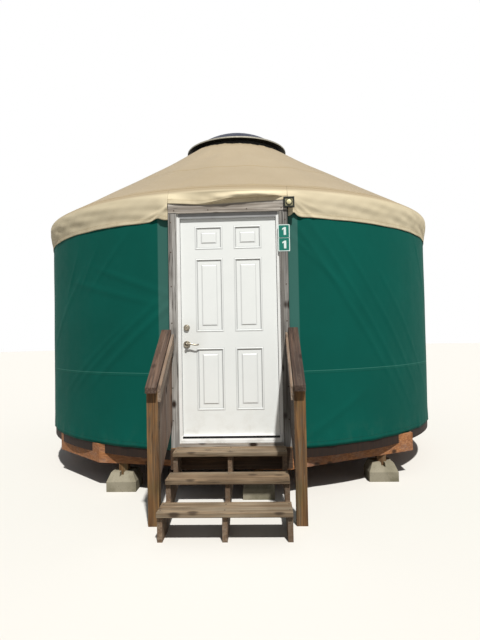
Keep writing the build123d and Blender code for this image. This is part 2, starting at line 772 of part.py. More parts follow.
with BuildPart() as stair_stringers:
    for place in stringer_places:
        with BuildSketch(Plane.YZ.offset(place)):
            Polygon((ledger_face, seat_levels[0]), (riser_faces[0], seat_levels[0]),
                    (riser_faces[0], seat_levels[1]), (riser_faces[1], seat_levels[1]),
                    (riser_faces[1], seat_levels[2]), (riser_faces[2], seat_levels[2]),
                    (riser_faces[2], 0), (foot_back, 0),
                    (ledger_face, (ledger_face - foot_back) * tread_rise / tread_run), align=None)
        extrude(amount=board / 2, both=True)
stair_stringers.part.label = "stair_stringers"
export_step(stair_stringers.part, "parts/stair_stringers.step")

with BuildPart() as stair_treads:
    for front, top in zip(tread_fronts, tread_tops):
        with BuildSketch(Plane.XY.offset(top - board)):
            with Locations((0, front)):
                Rectangle(2 * tread_half, tread_depth, align=(Align.CENTER, Align.MIN))
        extrude(amount=board)
    chamfer([tread.edges().filter_by(Axis.X).sort_by(Axis.Y)[step]
             for tread in stair_treads.solids() for step in (0, 1)], tread_bevel)
stair_treads.part.label = "stair_treads"
export_step(stair_treads.part, "parts/stair_treads.step")

# Handrails: post, rail on its inner face, flat cap, and two upright boards on each side
post_inner = tread_half + 45
post_front = tread_fronts[1] - 30
post_back = post_front + stud
cap_overhang = 50
cap_front = post_front - cap_overhang
rail_height = 1090
cap_level = floor_top + rail_height
rail_slope = 0.645
rail_angle = atan(rail_slope)
cap_drop = board / cos(rail_angle)
rail_drop = stud / cos(rail_angle)
rail_set_down = cap_drop
rail_thickness = 25
side_board = 25
side_widths = ((front_face, front_face - wide_plank), (post_back + wide_plank, post_back))
side_low_wall = floor_top + 212
side_low_slope = 0.533


def cap_top(y):
    """Level of the cap's top at a distance along the steps."""
    return cap_level + (y - front_face) * rail_slope


def side_low(y):
    """Level of the side boards' lower edge."""
    return side_low_wall + (y - front_face) * side_low_slope


with BuildPart() as handrail_posts:
    with BuildSketch(Plane.YZ.offset(post_inner)):
        Polygon((post_front, 0), (post_back, 0), (post_back, cap_top(post_back) - cap_drop),
                (post_front, cap_top(post_front) - cap_drop), align=None)
    extrude(amount=stud)
    mirror(about=Plane.YZ)
handrail_posts.part.label = "handrail_posts"
export_step(handrail_posts.part, "parts/handrail_posts.step")

with BuildPart() as handrail_caps:
    with BuildSketch(Plane.YZ.offset(post_inner)):
        Polygon((cap_front, cap_top(cap_front)), (front_face, cap_top(front_face)),
                (front_face, cap_top(front_face) - cap_drop),
                (cap_front, cap_top(cap_front) - cap_drop), align=None)
    extrude(amount=stud)
    mirror(about=Plane.YZ)
handrail_caps.part.label = "handrail_caps"
export_step(handrail_caps.part, "parts/handrail_caps.step")

with BuildPart() as handrails:
    with BuildSketch(Plane.YZ.offset(post_inner)):
        Polygon((post_front, cap_top(post_front) - rail_set_down),
                (front_face, cap_top(front_face) - rail_set_down),
                (front_face, cap_top(front_face) - rail_set_down - rail_drop),
                (post_front, cap_top(post_front) - rail_set_down - rail_drop), align=None)
    extrude(amount=-rail_thickness)
    mirror(about=Plane.YZ)
handrails.part.label = "handrails"
export_step(handrails.part, "parts/handrails.step")

with BuildPart() as side_boards:
    with BuildSketch(Plane.YZ.offset(post_inner)):
        for start, end in side_widths:
            Polygon((start, side_low(start)), (start, cap_top(start) - cap_drop),
                    (end, cap_top(end) - cap_drop), (end, side_low(end)), align=None)
    extrude(amount=side_board)
    mirror(about=Plane.YZ)
side_boards.part.label = "side_boards"
export_step(side_boards.part, "parts/side_boards.step")
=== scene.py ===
import bpy
import numpy as np
from mathutils import Matrix, Vector


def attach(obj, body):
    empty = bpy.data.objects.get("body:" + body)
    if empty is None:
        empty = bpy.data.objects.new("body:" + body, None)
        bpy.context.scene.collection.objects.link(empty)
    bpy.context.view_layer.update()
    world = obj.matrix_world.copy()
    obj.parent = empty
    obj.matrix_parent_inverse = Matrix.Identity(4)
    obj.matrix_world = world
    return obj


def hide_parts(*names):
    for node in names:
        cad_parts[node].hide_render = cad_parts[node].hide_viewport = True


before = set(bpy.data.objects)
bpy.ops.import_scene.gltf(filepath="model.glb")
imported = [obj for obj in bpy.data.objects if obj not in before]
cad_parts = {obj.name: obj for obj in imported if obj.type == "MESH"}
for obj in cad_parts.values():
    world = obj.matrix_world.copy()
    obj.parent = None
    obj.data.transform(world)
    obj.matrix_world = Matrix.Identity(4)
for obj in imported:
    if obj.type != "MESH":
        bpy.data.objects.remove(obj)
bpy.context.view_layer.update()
scene = bpy.context.scene
tau = 2 * np.pi
print("frame loaded:", len(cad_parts), "nodes")


# Meshes from arrays
def newPiece(name, points, faces, body, material, slotName, uv=None, smooth=True):
    # points (n, 3) and faces (m, 3 or 4) become one mesh that rides on a body; uv holds a pair per point
    mesh = bpy.data.meshes.new(name)
    mesh.from_pydata(np.asarray(points).reshape(-1, 3).tolist(), [], list(faces))
    mesh.update()
    if uv is not None:
        corner = np.zeros(len(mesh.loops), np.int32)
        mesh.loops.foreach_get("vertex_index", corner)
        layer = mesh.uv_layers.new(name="UVMap")
        layer.data.foreach_set("uv", np.asarray(uv, np.float32).reshape(-1, 2)[corner].ravel())
    mesh.polygons.foreach_set("use_smooth", np.full(len(mesh.polygons), smooth))
    mesh.materials.append(material)
    piece = bpy.data.objects.new(name, mesh)
    scene.collection.objects.link(piece)
    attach(piece, body)
    return piece


def gridFaces(rows, columns, wrapRows=False, wrapColumns=False):
    # quads between neighbouring points of a rows x columns grid; wrap joins the last to the first
    index = np.arange(rows * columns).reshape(rows, columns)
    if wrapRows:
        index = np.concatenate([index, index[:1]], axis=0)
    if wrapColumns:
        index = np.concatenate([index, index[:, :1]], axis=1)
    return np.stack([index[:-1, :-1], index[:-1, 1:], index[1:, 1:], index[1:, :-1]], axis=-1).reshape(-1, 4)


def onRound(azimuth, radius, level):
    # azimuth in degrees from the door, positive towards +X: x = r sin a, y = -r cos a
    angle, radius, level = np.broadcast_arrays(np.radians(azimuth), radius, level)
    return np.stack([radius * np.sin(angle), -radius * np.cos(angle), level], axis=-1)


def lathe(name, profile, steps, body, material, slotName, smooth=True):
    # each (radius, level) of the profile is carried once round the vertical axis
    profile = np.array(profile, float)
    turn = np.arange(steps) * 360 / steps
    points = onRound(turn[None, :], profile[:, :1], profile[:, 1:])
    faces = gridFaces(len(profile), steps, wrapColumns=True)[:, ::-1]
    return newPiece(name, points, faces, body, material, slotName, smooth=smooth)


def tube(path, radius, sides=8, closed=False):
    # a circle carried along a path: at each point it stands square to the path's direction
    path = np.array(path, float)
    if closed:
        along = np.roll(path, -1, axis=0) - np.roll(path, 1, axis=0)
    else:
        along = np.gradient(path, axis=0)
    along /= np.linalg.norm(along, axis=1, keepdims=True)
    up = np.where(np.abs(along[:, 2:]) > 0.9, [[1.0, 0.0, 0.0]], [[0.0, 0.0, 1.0]])
    side = np.cross(along, up)
    side /= np.linalg.norm(side, axis=1, keepdims=True)
    up = np.cross(side, along)
    turn = np.arange(sides) / sides * tau
    radius = np.broadcast_to(radius, (len(path),))[:, None, None]
    cos, sin = np.cos(turn)[None, :, None], np.sin(turn)[None, :, None]
    ring = path[:, None] + radius * (cos * side[:, None] + sin * up[:, None])
    faces = gridFaces(len(path), sides, wrapRows=closed, wrapColumns=True)[:, ::-1]
    return ring.reshape(-1, 3), faces


def capped(ring, faces, sides):
    # a fan closes each end of an open tube
    start, end = len(ring), len(ring) + 1
    points = np.concatenate([ring, ring[:sides].mean(0, keepdims=True), ring[-sides:].mean(0, keepdims=True)])
    turn = np.arange(sides)
    after = np.roll(turn, -1)
    last = len(ring) - sides
    caps = [[start, b, a] for a, b in zip(turn, after)]
    caps += [[end, last + a, last + b] for a, b in zip(turn, after)]
    return points, faces.tolist() + caps


def joined(parts):
    # several (points, faces) become one, with the later ones' numbers moved up
    points, faces, count = [], [], 0
    for somePoints, someFaces in parts:
        points.append(np.asarray(somePoints).reshape(-1, 3))
        faces += [[int(i) + count for i in face] for face in someFaces]
        count += len(points[-1])
    return np.concatenate(points), faces


def turned(x, level, face, profile, sides):
    # each (radius, depth) of the profile is carried round an axis along Y that passes through (x, level)
    turn = np.arange(sides) / sides * tau
    profile = np.array(profile, float)
    reach, depth = profile[:, :1], profile[:, 1:]
    rings = np.broadcast_arrays(x + reach * np.cos(turn), face + depth, level + reach * np.sin(turn))
    return np.stack(rings, axis=-1)


def headShape(radius, height):
    # a pan head on its back at the origin, looking along +Z: rings at the edge, the shoulder and the crown
    sides = 10
    turn = np.arange(sides) / sides * tau
    rings = np.array([(1.0, 0.0), (1.0, 0.45), (0.72, 0.9), (0.25, 1.0)]) * (radius, height)
    reach, level = rings[:, :1], rings[:, 1:]
    spread = np.broadcast_arrays(reach * np.cos(turn), reach * np.sin(turn), level)
    points = np.stack(spread, axis=-1).reshape(-1, 3)
    faces = gridFaces(len(rings), sides, wrapColumns=True).tolist()
    faces.append(list(range(len(points) - sides, len(points))))
    return points, faces


def scattered(unit, places, directions):
    # copies of a unit shape: its Z axis is turned to each direction, and it is moved to each place
    points, faces = unit
    z = np.array(directions, float)
    z /= np.linalg.norm(z, axis=1, keepdims=True)
    x = np.cross(np.where(np.abs(z[:, 2:]) > 0.9, [[0.0, 1.0, 0.0]], [[0.0, 0.0, 1.0]]), z)
    x /= np.linalg.norm(x, axis=1, keepdims=True)
    y = np.cross(z, x)
    across, upward, outward = (points[None, :, axis:axis + 1] for axis in range(3))
    copies = across * x[:, None] + upward * y[:, None] + outward * z[:, None]
    return joined([(copy + place, faces) for copy, place in zip(copies, np.array(places, float))])


def smoothStep(low, high, value):
    # 0 below low, 1 above high, 3t^2 - 2t^3 between
    t = np.clip((value - low) / (high - low), 0, 1)
    return t * t * (3 - 2 * t)


def waves(angle, table):
    # a sum of sines over an angle in degrees; the table holds (count per turn, size, shift)
    return sum(size * np.sin(np.radians(angle) * count + shift) for count, size, shift in table)


# Materials
class Wire:
    # a shader socket that takes part in plain arithmetic
    def __init__(self, paint, socket):
        self.paint = paint
        self.socket = socket

    def calc(self, operation, *values):
        return self.paint.node("ShaderNodeMath", {"operation": operation}, dict(enumerate(values)))

    def __add__(self, other):
        return self.calc("ADD", self, other)

    def __sub__(self, other):
        return self.calc("SUBTRACT", self, other)

    def __rsub__(self, other):
        return self.calc("SUBTRACT", other, self)

    def __mul__(self, other):
        return self.calc("MULTIPLY", self, other)

    def __truediv__(self, other):
        return self.calc("DIVIDE", self, other)

    def __pow__(self, other):
        return self.calc("POWER", self, other)

    def __abs__(self):
        return self.calc("ABSOLUTE", self)

    def sine(self):
        return self.calc("SINE", self)

    def least(self, other):
        return self.calc("MINIMUM", self, other)

    def most(self, other):
        return self.calc("MAXIMUM", self, other)

    def fraction(self):
        return self.calc("FRACT", self)

    def rise(self, low, high):
        # 0 at low, 1 at high, smooth between
        return self.paint.node("ShaderNodeMapRange", {"interpolation_type": "SMOOTHSTEP"},
                               {"Value": self, "From Min": low, "From Max": high})

    def band(self, centre, halfWidth, soft):
        # 1 within halfWidth of the centre, fading to 0 over soft
        return 1 - abs(self - centre).rise(halfWidth, halfWidth + soft)


class Paint:
    # one material: fixed values on the shader, and short ways to add nodes in front of it
    def __init__(self, name, **fixed):
        self.material = bpy.data.materials.new(name)
        self.material.use_nodes = True
        self.tree = self.material.node_tree
        self.shader = self.tree.nodes["Principled BSDF"]
        for socket, value in fixed.items():
            self.shader.inputs[socket.replace("_", " ")].default_value = value
        self.spot = self.node("ShaderNodeTexCoord", {}, {}, "Object")

    def node(self, kind, settings, values, output=0):
        made = self.tree.nodes.new(kind)
        for key, value in settings.items():
            setattr(made, key, value)
        for key, value in values.items():
            if isinstance(value, Wire):
                self.tree.links.new(value.socket, made.inputs[key])
            else:
                made.inputs[key].default_value = value
        return Wire(self, made.outputs[output])

    def uv(self):
        return self.node("ShaderNodeUVMap", {"uv_map": "UVMap"}, {})

    def axes(self, place=None):
        split = self.node("ShaderNodeSeparateXYZ", {}, {0: place or self.spot})
        made = split.socket.node
        return [Wire(self, made.outputs[i]) for i in range(3)]

    def stretched(self, scale, place=None, shift=(0, 0, 0)):
        values = {"Vector": place or self.spot, "Scale": scale, "Location": shift}
        return self.node("ShaderNodeMapping", {}, values)

    def noise(self, scale, detail, rough, place=None, twist=0.0):
        values = {"Vector": place or self.spot, "Scale": scale, "Detail": detail, "Roughness": rough,
                  "Distortion": twist}
        return self.node("ShaderNodeTexNoise", {}, values)

    def cells(self, scale, place=None, output="Distance"):
        return self.node("ShaderNodeTexVoronoi", {}, {"Vector": place or self.spot, "Scale": scale}, output)

    def mix(self, factor, first, second):
        return self.node("ShaderNodeMix", {"data_type": "RGBA"}, {0: factor, 6: first, 7: second}, 2)

    def bump(self, height, strength, distance, under=None):
        values = {"Height": height, "Strength": strength, "Distance": distance}
        if under:
            values["Normal"] = under
        return self.node("ShaderNodeBump", {}, values)

    def set(self, **sockets):
        for socket, wire in sockets.items():
            self.tree.links.new(wire.socket, self.shader.inputs[socket.replace("_", " ")])
        return self.material


def tone(hexCode):
    # a colour written as in a paint chart, turned to linear light
    parts = np.array([int(hexCode[i:i + 2], 16) for i in (0, 2, 4)]) / 255
    linear = np.where(parts <= 0.04045, parts / 12.92, ((parts + 0.055) / 1.055) ** 2.4)
    return (*linear.tolist(), 1.0)


timberDark = {"crack": "1b120c", "knot": "2a1c12", "shade": "1a1412"}


def woodPaint(name, along, pale, dark, grey=None, greyShare=0.0, stain=None, stainShare=0.0, rough=0.75,
              knots=0.5, grain=1.0, shaded=0.0, lean=0.0, cracks=0.0):
    # grain, streaks and cracks: noise drawn out along the board; rings: a wave bent by noise; knots:
    # drawn-out cells, dark inside; lean turns the grain up a sloping member, and shaded darkens the +X side
    paint = Paint(name, Specular_IOR_Level=0.3)
    place = paint.spot
    if lean:
        place = paint.node("ShaderNodeMapping", {}, {"Vector": paint.spot, "Rotation": (-lean, 0, 0)})

    def drawn(across, lengthwise, shift=(0, 0, 0)):
        scale = [across] * 3
        scale[along] = lengthwise
        return paint.stretched(scale, place, shift)

    fibre = paint.noise(7.0, 6, 0.62, drawn(26, 1.3))
    ring = (paint.noise(1.6, 3, 0.5, drawn(11, 0.55), 0.6) * 34).sine() * 0.5 + 0.5
    streak = paint.noise(1.0, 4, 0.55, drawn(64, 1.5)).rise(0.40, 0.60)
    knot = (1 - paint.cells(1.0, drawn(7.0, 4.2, (0.3, 0.8, 0.1))).rise(0.09, 0.24)) * knots
    blotch = paint.noise(2.2, 3, 0.5).rise(0.42, 0.66)
    colour = paint.mix(fibre.rise(0.32, 0.72) * 0.45 + ring * 0.35, tone(pale), tone(dark))
    if grey:
        worn = paint.noise(3.1, 4, 0.6, drawn(3.9, 0.2)) * 0.6 + fibre * 0.5
        colour = paint.mix(worn.rise(0.62 - greyShare * 0.4, 0.9 - greyShare * 0.4), colour, tone(grey))
    if stain:
        colour = paint.mix(blotch * stainShare, colour, tone(stain))
    colour = paint.mix(streak * 0.55, colour, tone(dark))
    height = fibre * 0.7 + ring * 0.3 - knot * 0.5
    if cracks:
        crack = paint.noise(1.0, 2, 0.5, drawn(46, 1.0, (2.1, 0.7, 1.3))).band(0.5, 0.006, 0.010)
        crack = crack * paint.noise(2.6, 2, 0.5).rise(0.45, 0.55) * cracks
        colour = paint.mix(crack, colour, tone(timberDark["crack"]))
        height = height - crack
    colour = paint.mix(knot, colour, tone(timberDark["knot"]))
    if shaded:
        x, _, _ = paint.axes()
        colour = paint.mix(x.rise(-0.05, 0.05) * shaded, colour, tone(timberDark["shade"]))
    normal = paint.bump(height, 0.5 * grain, 0.0022)
    roughness = fibre * 0.2 + (rough - 0.08)
    return paint.set(Base_Color=colour, Roughness=roughness, Normal=normal)


cloth = {"thickness": 0.0012, "threads": 1100, "rough": 0.72, "stitch": 0.006, "stitchWidth": 0.0009}


def clothPaint(name, sheet, extra):
    # coated canvas: a fine plain weave as two crossed sines on the piece's own map, slow fading, faint dust
    paint = Paint(name, Specular_IOR_Level=0.10, Sheen_Weight=sheet["sheen"], Sheen_Roughness=0.35)
    across, upward, _ = paint.axes(paint.uv())
    weave = (across * cloth["threads"]).sine() * (upward * cloth["threads"]).sine()
    slow = paint.noise(0.7, 4, 0.55).rise(0.3, 0.75)
    fine = paint.noise(9.0, 5, 0.6)
    colour = paint.mix(slow * 0.6 + fine * 0.12, tone(sheet["base"]), tone(sheet["shade"]))
    dust = paint.noise(2.6, 5, 0.7, paint.stretched((1, 1, 0.35))).rise(0.55, 0.8)
    colour = paint.mix(dust * 0.12, colour, tone(sheet["dust"]))
    normal = paint.bump(weave * 0.5 + fine * 0.8, 0.25, 0.0006)
    colour, normal = extra(paint, colour, normal, across, upward)
    return paint.set(Base_Color=colour, Roughness=fine * 0.16 + (cloth["rough"] - 0.07), Normal=normal)


def stitchRow(along, off):
    # short dashes beside a seam: a narrow band cut by a sine along it
    dashes = (along * (tau / cloth["stitch"])).sine().rise(-0.5, 0.1)
    return off.band(0.0, cloth["stitchWidth"], 0.0006) * dashes


# A crease is (degrees from the door, level, slope, height, half width, half length), a wave is
# (count per turn, size, shift), and a cloth's colours are its base, shade, dust and seams
wallCloth = {
    "radius": 2.4372, "foot": 0.435, "head": 2.790, "seamLevel": 1.138, "edge": 0.557, "hem": 0.05,
    "sheen": 0.0, "base": "04594e", "shade": "054a40", "dust": "24695c", "strip": "3f6c64",
    "splash": "6f8872", "seam": "2f6f60", "seamLine": "4d8577", "hemLine": "05302a",
    "leftStrip": (-0.612, 0.054), "rightStrip": (0.603, 0.043),
    "sag": [(36, 0.0010, 0.3), (17, 0.0012, 1.0), (61, 0.0005, 2.0)],
    "flutter": [(53, 0.0035, 0.0), (31, 0.003, 1.3), (97, 0.0018, 0.7)],
    "footRise": [(29, 0.0016, 0.4), (47, 0.0010, 2.2)],
    "creasesRight": [(27, 1.85, -1.35, 0.0065, 0.024, 2.0), (33, 1.72, -1.35, 0.0060, 0.022, 1.9),
                     (40, 1.65, -1.30, 0.0055, 0.024, 1.7), (49, 1.55, -1.20, 0.0045, 0.026, 1.4),
                     (21, 2.15, -0.90, 0.0045, 0.022, 0.7), (62, 2.20, -1.50, 0.0045, 0.024, 0.8),
                     (24, 0.72, 0.60, 0.0040, 0.030, 0.5), (110, 1.60, -1.00, 0.0050, 0.030, 1.5),
                     (140, 1.70, 0.90, 0.0045, 0.030, 1.4), (165, 1.40, -0.80, 0.0045, 0.030, 1.2)],
    "creasesLeft": [(22, 1.50, -0.80, 0.0070, 0.028, 0.9), (29, 1.42, -0.75, 0.0060, 0.026, 0.9),
                    (36, 1.30, -0.70, 0.0050, 0.026, 0.8), (30, 2.25, -1.00, 0.0050, 0.020, 0.5),
                    (37, 2.22, -1.40, 0.0045, 0.020, 0.5), (45, 2.18, -1.70, 0.0045, 0.022, 0.5),
                    (24, 2.05, 0.35, 0.0050, 0.024, 0.5), (30, 1.95, 0.25, 0.0045, 0.026, 0.6),
                    (52, 1.70, -0.90, 0.0045, 0.030, 1.0), (100, 1.50, 1.00, 0.0050, 0.030, 1.4),
                    (135, 1.80, -0.90, 0.0045, 0.030, 1.3), (160, 1.30, 0.80, 0.0045, 0.030, 1.2)]}

roofCloth = {
    "crownRadius": 0.618, "crownLevel": 3.958, "eaveRadius": 2.468, "eaveLevel": 2.848, "slope": 0.6,
    "eaveRound": 0.030, "lip": 2.824, "seamRadius": 1.655,
    "lowSeamRadius": 2.372, "rafters": 24, "dip": 0.008, "sheen": 0.3,
    "ripple": [(73, 0.0014, 0.2), (121, 0.0010, 1.1), (47, 0.0018, 2.5)],
    "pull": [(24, 0.0022, 0.0), (61, 0.0012, 0.8)],
    "base": "ad9d83", "shade": "9d8d73", "dust": "bbae97", "seam": "a58f66", "seamLine": "8d7852",
    # crown is the painted shadow under the skylight's rim
    "lowSeam": "a48d63", "runs": "a8926a", "crown": "96815a"}

skirtCloth = {
    "sewn": 2.392, "lift": 0.0042, "hem": 2.590, "hemRadius": 2.4450, "jambRight": 0.5575, "face": 2.4385,
    "pleat": 0.615, "pleatRise": 0.042, "leftTuck": -0.665, "tuckRise": 0.024, "sheen": 0.0,
    "seamLevel": 2.8885, "hemWaves": [(41, 0.0012, 0.4), (23, 0.0015, 0.9), (7, 0.003, 0.2)],
    "fanCorners": [(-1, 2.70), (1, 2.77)], "fanRays": [(0.35, 0.007), (0.75, 0.009), (1.6, 0.006)],
    "doorHem": [(-0.57, 2.739), (-0.30, 2.719), (-0.20, 2.716), (0.07, 2.726), (0.36, 2.738), (0.57, 2.744)],
    "fold": [(-0.57, 2.739), (-0.30, 2.720), (-0.20, 2.724), (-0.05, 2.747), (0.10, 2.777), (0.28, 2.786),
             (0.42, 2.778), (0.57, 2.770)],
    "base": "e9dbbc", "shade": "d9c9a8", "dust": "ece3cd", "sewnStrip": "a39379", "hemLine": "a08a60",
    "grimeAndShade": "a3906c", "seamLine": "8d7852"}


def wallExtras(paint, colour, normal, across, upward):
    # the horizontal seam, the bottom hem, splashed dirt above it and the pale strips at the door
    seamRise = wallCloth["seamLevel"] - wallCloth["foot"]
    seam = upward.band(seamRise, 0.012, 0.003)
    line = upward.band(seamRise + 0.012, 0.0012, 0.002)
    colour = paint.mix(line * 0.55, colour, tone(wallCloth["seamLine"]))
    colour = paint.mix(seam * 0.12, colour, tone(wallCloth["seam"]))
    hem = 1 - upward.rise(wallCloth["hem"] - 0.003, wallCloth["hem"])
    hemLine = upward.band(wallCloth["hem"], 0.001, 0.0015)
    colour = paint.mix(hemLine * 0.6, colour, tone(wallCloth["hemLine"]))
    x, y, _ = paint.axes()
    strips = x.band(*wallCloth["leftStrip"], 0.014) + x.band(*wallCloth["rightStrip"], 0.014)
    strips = (strips * (y * -1).rise(0.5, 0.6)).least(1.0)
    colour = paint.mix(strips * 0.85, colour, tone(wallCloth["strip"]))
    splash = (1 - upward.rise(0.0, 0.30)) * paint.noise(6.0, 5, 0.7).rise(0.45, 0.7)
    colour = paint.mix(splash * 0.07, colour, tone(wallCloth["splash"]))
    stitches = stitchRow(across, upward - wallCloth["hem"] + 0.006)
    return colour, paint.bump(seam + hem - stitches * 0.8, 0.7, 0.0014, normal)


def roofExtras(paint, colour, normal, across, upward):
    # two ring seams with a darker line at each, water marks that run down, and painted shadow in a ring under
    # the crown
    x, y, _ = paint.axes()
    reach = (x * x + y * y) ** 0.5
    ring = reach.band(roofCloth["seamRadius"], 0.012, 0.003)
    ringLine = reach.band(roofCloth["seamRadius"] + 0.014, 0.0040, 0.004)
    lowRing = reach.band(roofCloth["lowSeamRadius"], 0.022, 0.003)
    lowLine = reach.band(roofCloth["lowSeamRadius"] - 0.026, 0.0030, 0.004)
    colour = paint.mix(ring * 0.25, colour, tone(roofCloth["seam"]))
    colour = paint.mix((ringLine + lowLine).least(1.0) * 0.6, colour, tone(roofCloth["seamLine"]))
    colour = paint.mix(lowRing * 0.30, colour, tone(roofCloth["lowSeam"]))
    runs = paint.noise(1.0, 5, 0.6, paint.stretched((34, 1.2, 1), paint.uv())).rise(0.52, 0.8)
    colour = paint.mix(runs * 0.22, colour, tone(roofCloth["runs"]))
    # painted shadow of the skylight's rim: a darker ring under the crown
    under = (1 - reach.rise(0.64, 0.80)) * 0.3
    colour = paint.mix(under, colour, tone(roofCloth["crown"]))
    return colour, paint.bump(ring + lowRing, 0.6, 0.0014, normal)


def skirtExtras(paint, colour, normal, across, upward):
    # a double hem with faint dirt above it; the strip on the slope has the roof's tone and a seam at its top
    hem = 1 - upward.rise(0.034, 0.038)
    hemLine = upward.band(0.037, 0.0012, 0.002)
    colour = paint.mix(hemLine * 0.5, colour, tone(skirtCloth["hemLine"]))
    grimeAndShade = (1 - upward.rise(0.0, 0.12)) * paint.noise(8.0, 5, 0.65).rise(0.4, 0.75)
    colour = paint.mix(grimeAndShade * 0.35, colour, tone(skirtCloth["grimeAndShade"]))
    stitches = stitchRow(across, upward - 0.031)
    _, _, z = paint.axes()
    colour = paint.mix(z.rise(2.826, 2.858), colour, tone(skirtCloth["sewnStrip"]))
    seam = z.band(skirtCloth["seamLevel"], 0.0035, 0.002)
    colour = paint.mix(seam * 0.55, colour, tone(skirtCloth["seamLine"]))
    return colour, paint.bump(hem - stitches + seam, 0.7, 0.0012, normal)


greenCanvas = clothPaint("greenCanvas", wallCloth, wallExtras)
tanCanvas = clothPaint("tanCanvas", roofCloth, roofExtras)
skirtCanvas = clothPaint("skirtCanvas", skirtCloth, skirtExtras)

# along is the axis of the grain: 0, 1 or 2 for X, Y or Z
timber = {
    "post": {"name": "treatedPineUpright", "along": 2, "pale": "936d44", "dark": "432a18", "grey": "7d725f",
             "greyShare": 0.35, "stain": "46542a", "stainShare": 0.4, "knots": 0.9, "grain": 1.5,
             "cracks": 0.6},
    "stringer": {"name": "treatedPineAlongY", "along": 1, "pale": "94785d", "dark": "56402e",
                 "grey": "85796b", "greyShare": 0.5, "stain": "3c2e22", "stainShare": 0.4, "knots": 0.6,
                 "lean": 0.354},
    "ledger": {"name": "ledgerTimber", "along": 0, "pale": "6d5239", "dark": "33241a", "grey": "5f5346",
               "greyShare": 0.4, "stain": "2c1f17", "stainShare": 0.5, "knots": 0.4},
    "tread": {"name": "treadTimber", "along": 0, "pale": "a1886b", "dark": "523e2a", "grey": "928571",
              "greyShare": 0.45, "stain": "33261a", "stainShare": 0.35, "knots": 0.75, "grain": 1.9,
              "cracks": 0.8},
    "cap": {"name": "capTimber", "along": 1, "pale": "725a4a", "dark": "2a1b16", "grey": "8a7c71",
            "greyShare": 0.3, "stain": "1d1310", "stainShare": 0.4, "knots": 1.0, "grain": 1.8, "lean": 0.573,
            "shaded": 0.35, "cracks": 0.6},
    "rail": {"name": "railTimber", "along": 1, "pale": "a0866f", "dark": "5d4a3a", "grey": "9a8f84",
             "greyShare": 0.5, "stain": "4a3b31", "stainShare": 0.35, "knots": 0.6, "grain": 1.6,
             "lean": 0.573},
    "sideBoard": {"name": "sideBoardTimber", "along": 2, "pale": "94755f", "dark": "4a362b", "grey": "8a7d73",
                  "greyShare": 0.5, "stain": "352722", "stainShare": 0.4, "knots": 1.0, "grain": 1.6,
                  "shaded": 0.8, "cracks": 0.6},
    "jamb": {"name": "jambTimber", "along": 2, "pale": "b9b4ac", "dark": "534d49", "grey": "c0beba",
             "greyShare": 0.45, "stain": "4a423d", "stainShare": 0.3, "knots": 1.0, "grain": 2.0,
             "shaded": 0.35, "cracks": 0.7},
    "header": {"name": "headerTimber", "along": 0, "pale": "cbc0b3", "dark": "62574d", "grey": "cdc7bf",
               "greyShare": 0.45, "stain": "564b42", "stainShare": 0.3, "knots": 1.0, "grain": 2.0,
               "cracks": 0.7},
    "frame": {"name": "frameTimber", "along": 0, "pale": "c4895a", "dark": "7a4a2a", "grey": "957c70",
              "greyShare": 0.35, "stain": "5a3820", "stainShare": 0.3, "knots": 0.9, "grain": 1.6},
    "joist": {"name": "frameTimberAlongY", "along": 1, "pale": "ab7647", "dark": "6d4325", "grey": "8a7468",
              "greyShare": 0.3, "stain": "4a2d18", "stainShare": 0.5, "knots": 0.6},
    "band": {"name": "bandTimber", "along": 2, "pale": "2c1a0f", "dark": "160c06", "grey": "33261d",
             "greyShare": 0.1, "stain": "100804", "stainShare": 0.5, "knots": 0.2},
    "lattice": {"name": "latticeTimber", "along": 2, "pale": "cfa878", "dark": "a97f50", "knots": 0.25,
                "rough": 0.55},
    "rafter": {"name": "rafterTimber", "along": 2, "pale": "cba26e", "dark": "a47a49", "knots": 0.3,
               "rough": 0.55}}
wood = {piece: woodPaint(**finish) for piece, finish in timber.items()}

deck = {"board": 0.140, "pale": "b98e5e", "dark": "8c6239", "tint": "7a5632", "gap": "1d130b"}


def boardFloor():
    # boards along X: a dark joint at the edge of every board, and a slight tint for each length of board
    paint = Paint("deckBoards", Specular_IOR_Level=0.35)
    _, y, _ = paint.axes()
    gap = abs((y / deck["board"]).fraction() - 0.5).rise(0.487, 0.496)
    fibre = paint.noise(6.0, 6, 0.6, paint.stretched((1.4, 26, 26)))
    tint, _, _ = paint.axes(paint.cells(1.0, paint.stretched((0.45, 7.14, 0.0)), output="Color"))
    colour = paint.mix(fibre.rise(0.3, 0.75) * 0.6, tone(deck["pale"]), tone(deck["dark"]))
    colour = paint.mix(tint * 0.3, colour, tone(deck["tint"]))
    colour = paint.mix(gap, colour, tone(deck["gap"]))
    normal = paint.bump(fibre * 0.3 - gap, 0.6, 0.002)
    return paint.set(Base_Color=colour, Roughness=fibre * 0.2 + 0.5, Normal=normal)


doorFace = {
    "face": -2.395, "inner": 0.066, "width": 0.232,
    "levels": [(0.817, 1.370), (1.545, 2.205), (2.316, 2.508)],
    "hand": (-0.40, 1.47), "white": "f0f2f0", "worn": "e3e6e4", "lowDirt": "b9b2a4", "handDirt": "c9c4ba",
    "grooveShade": "7f8183"}


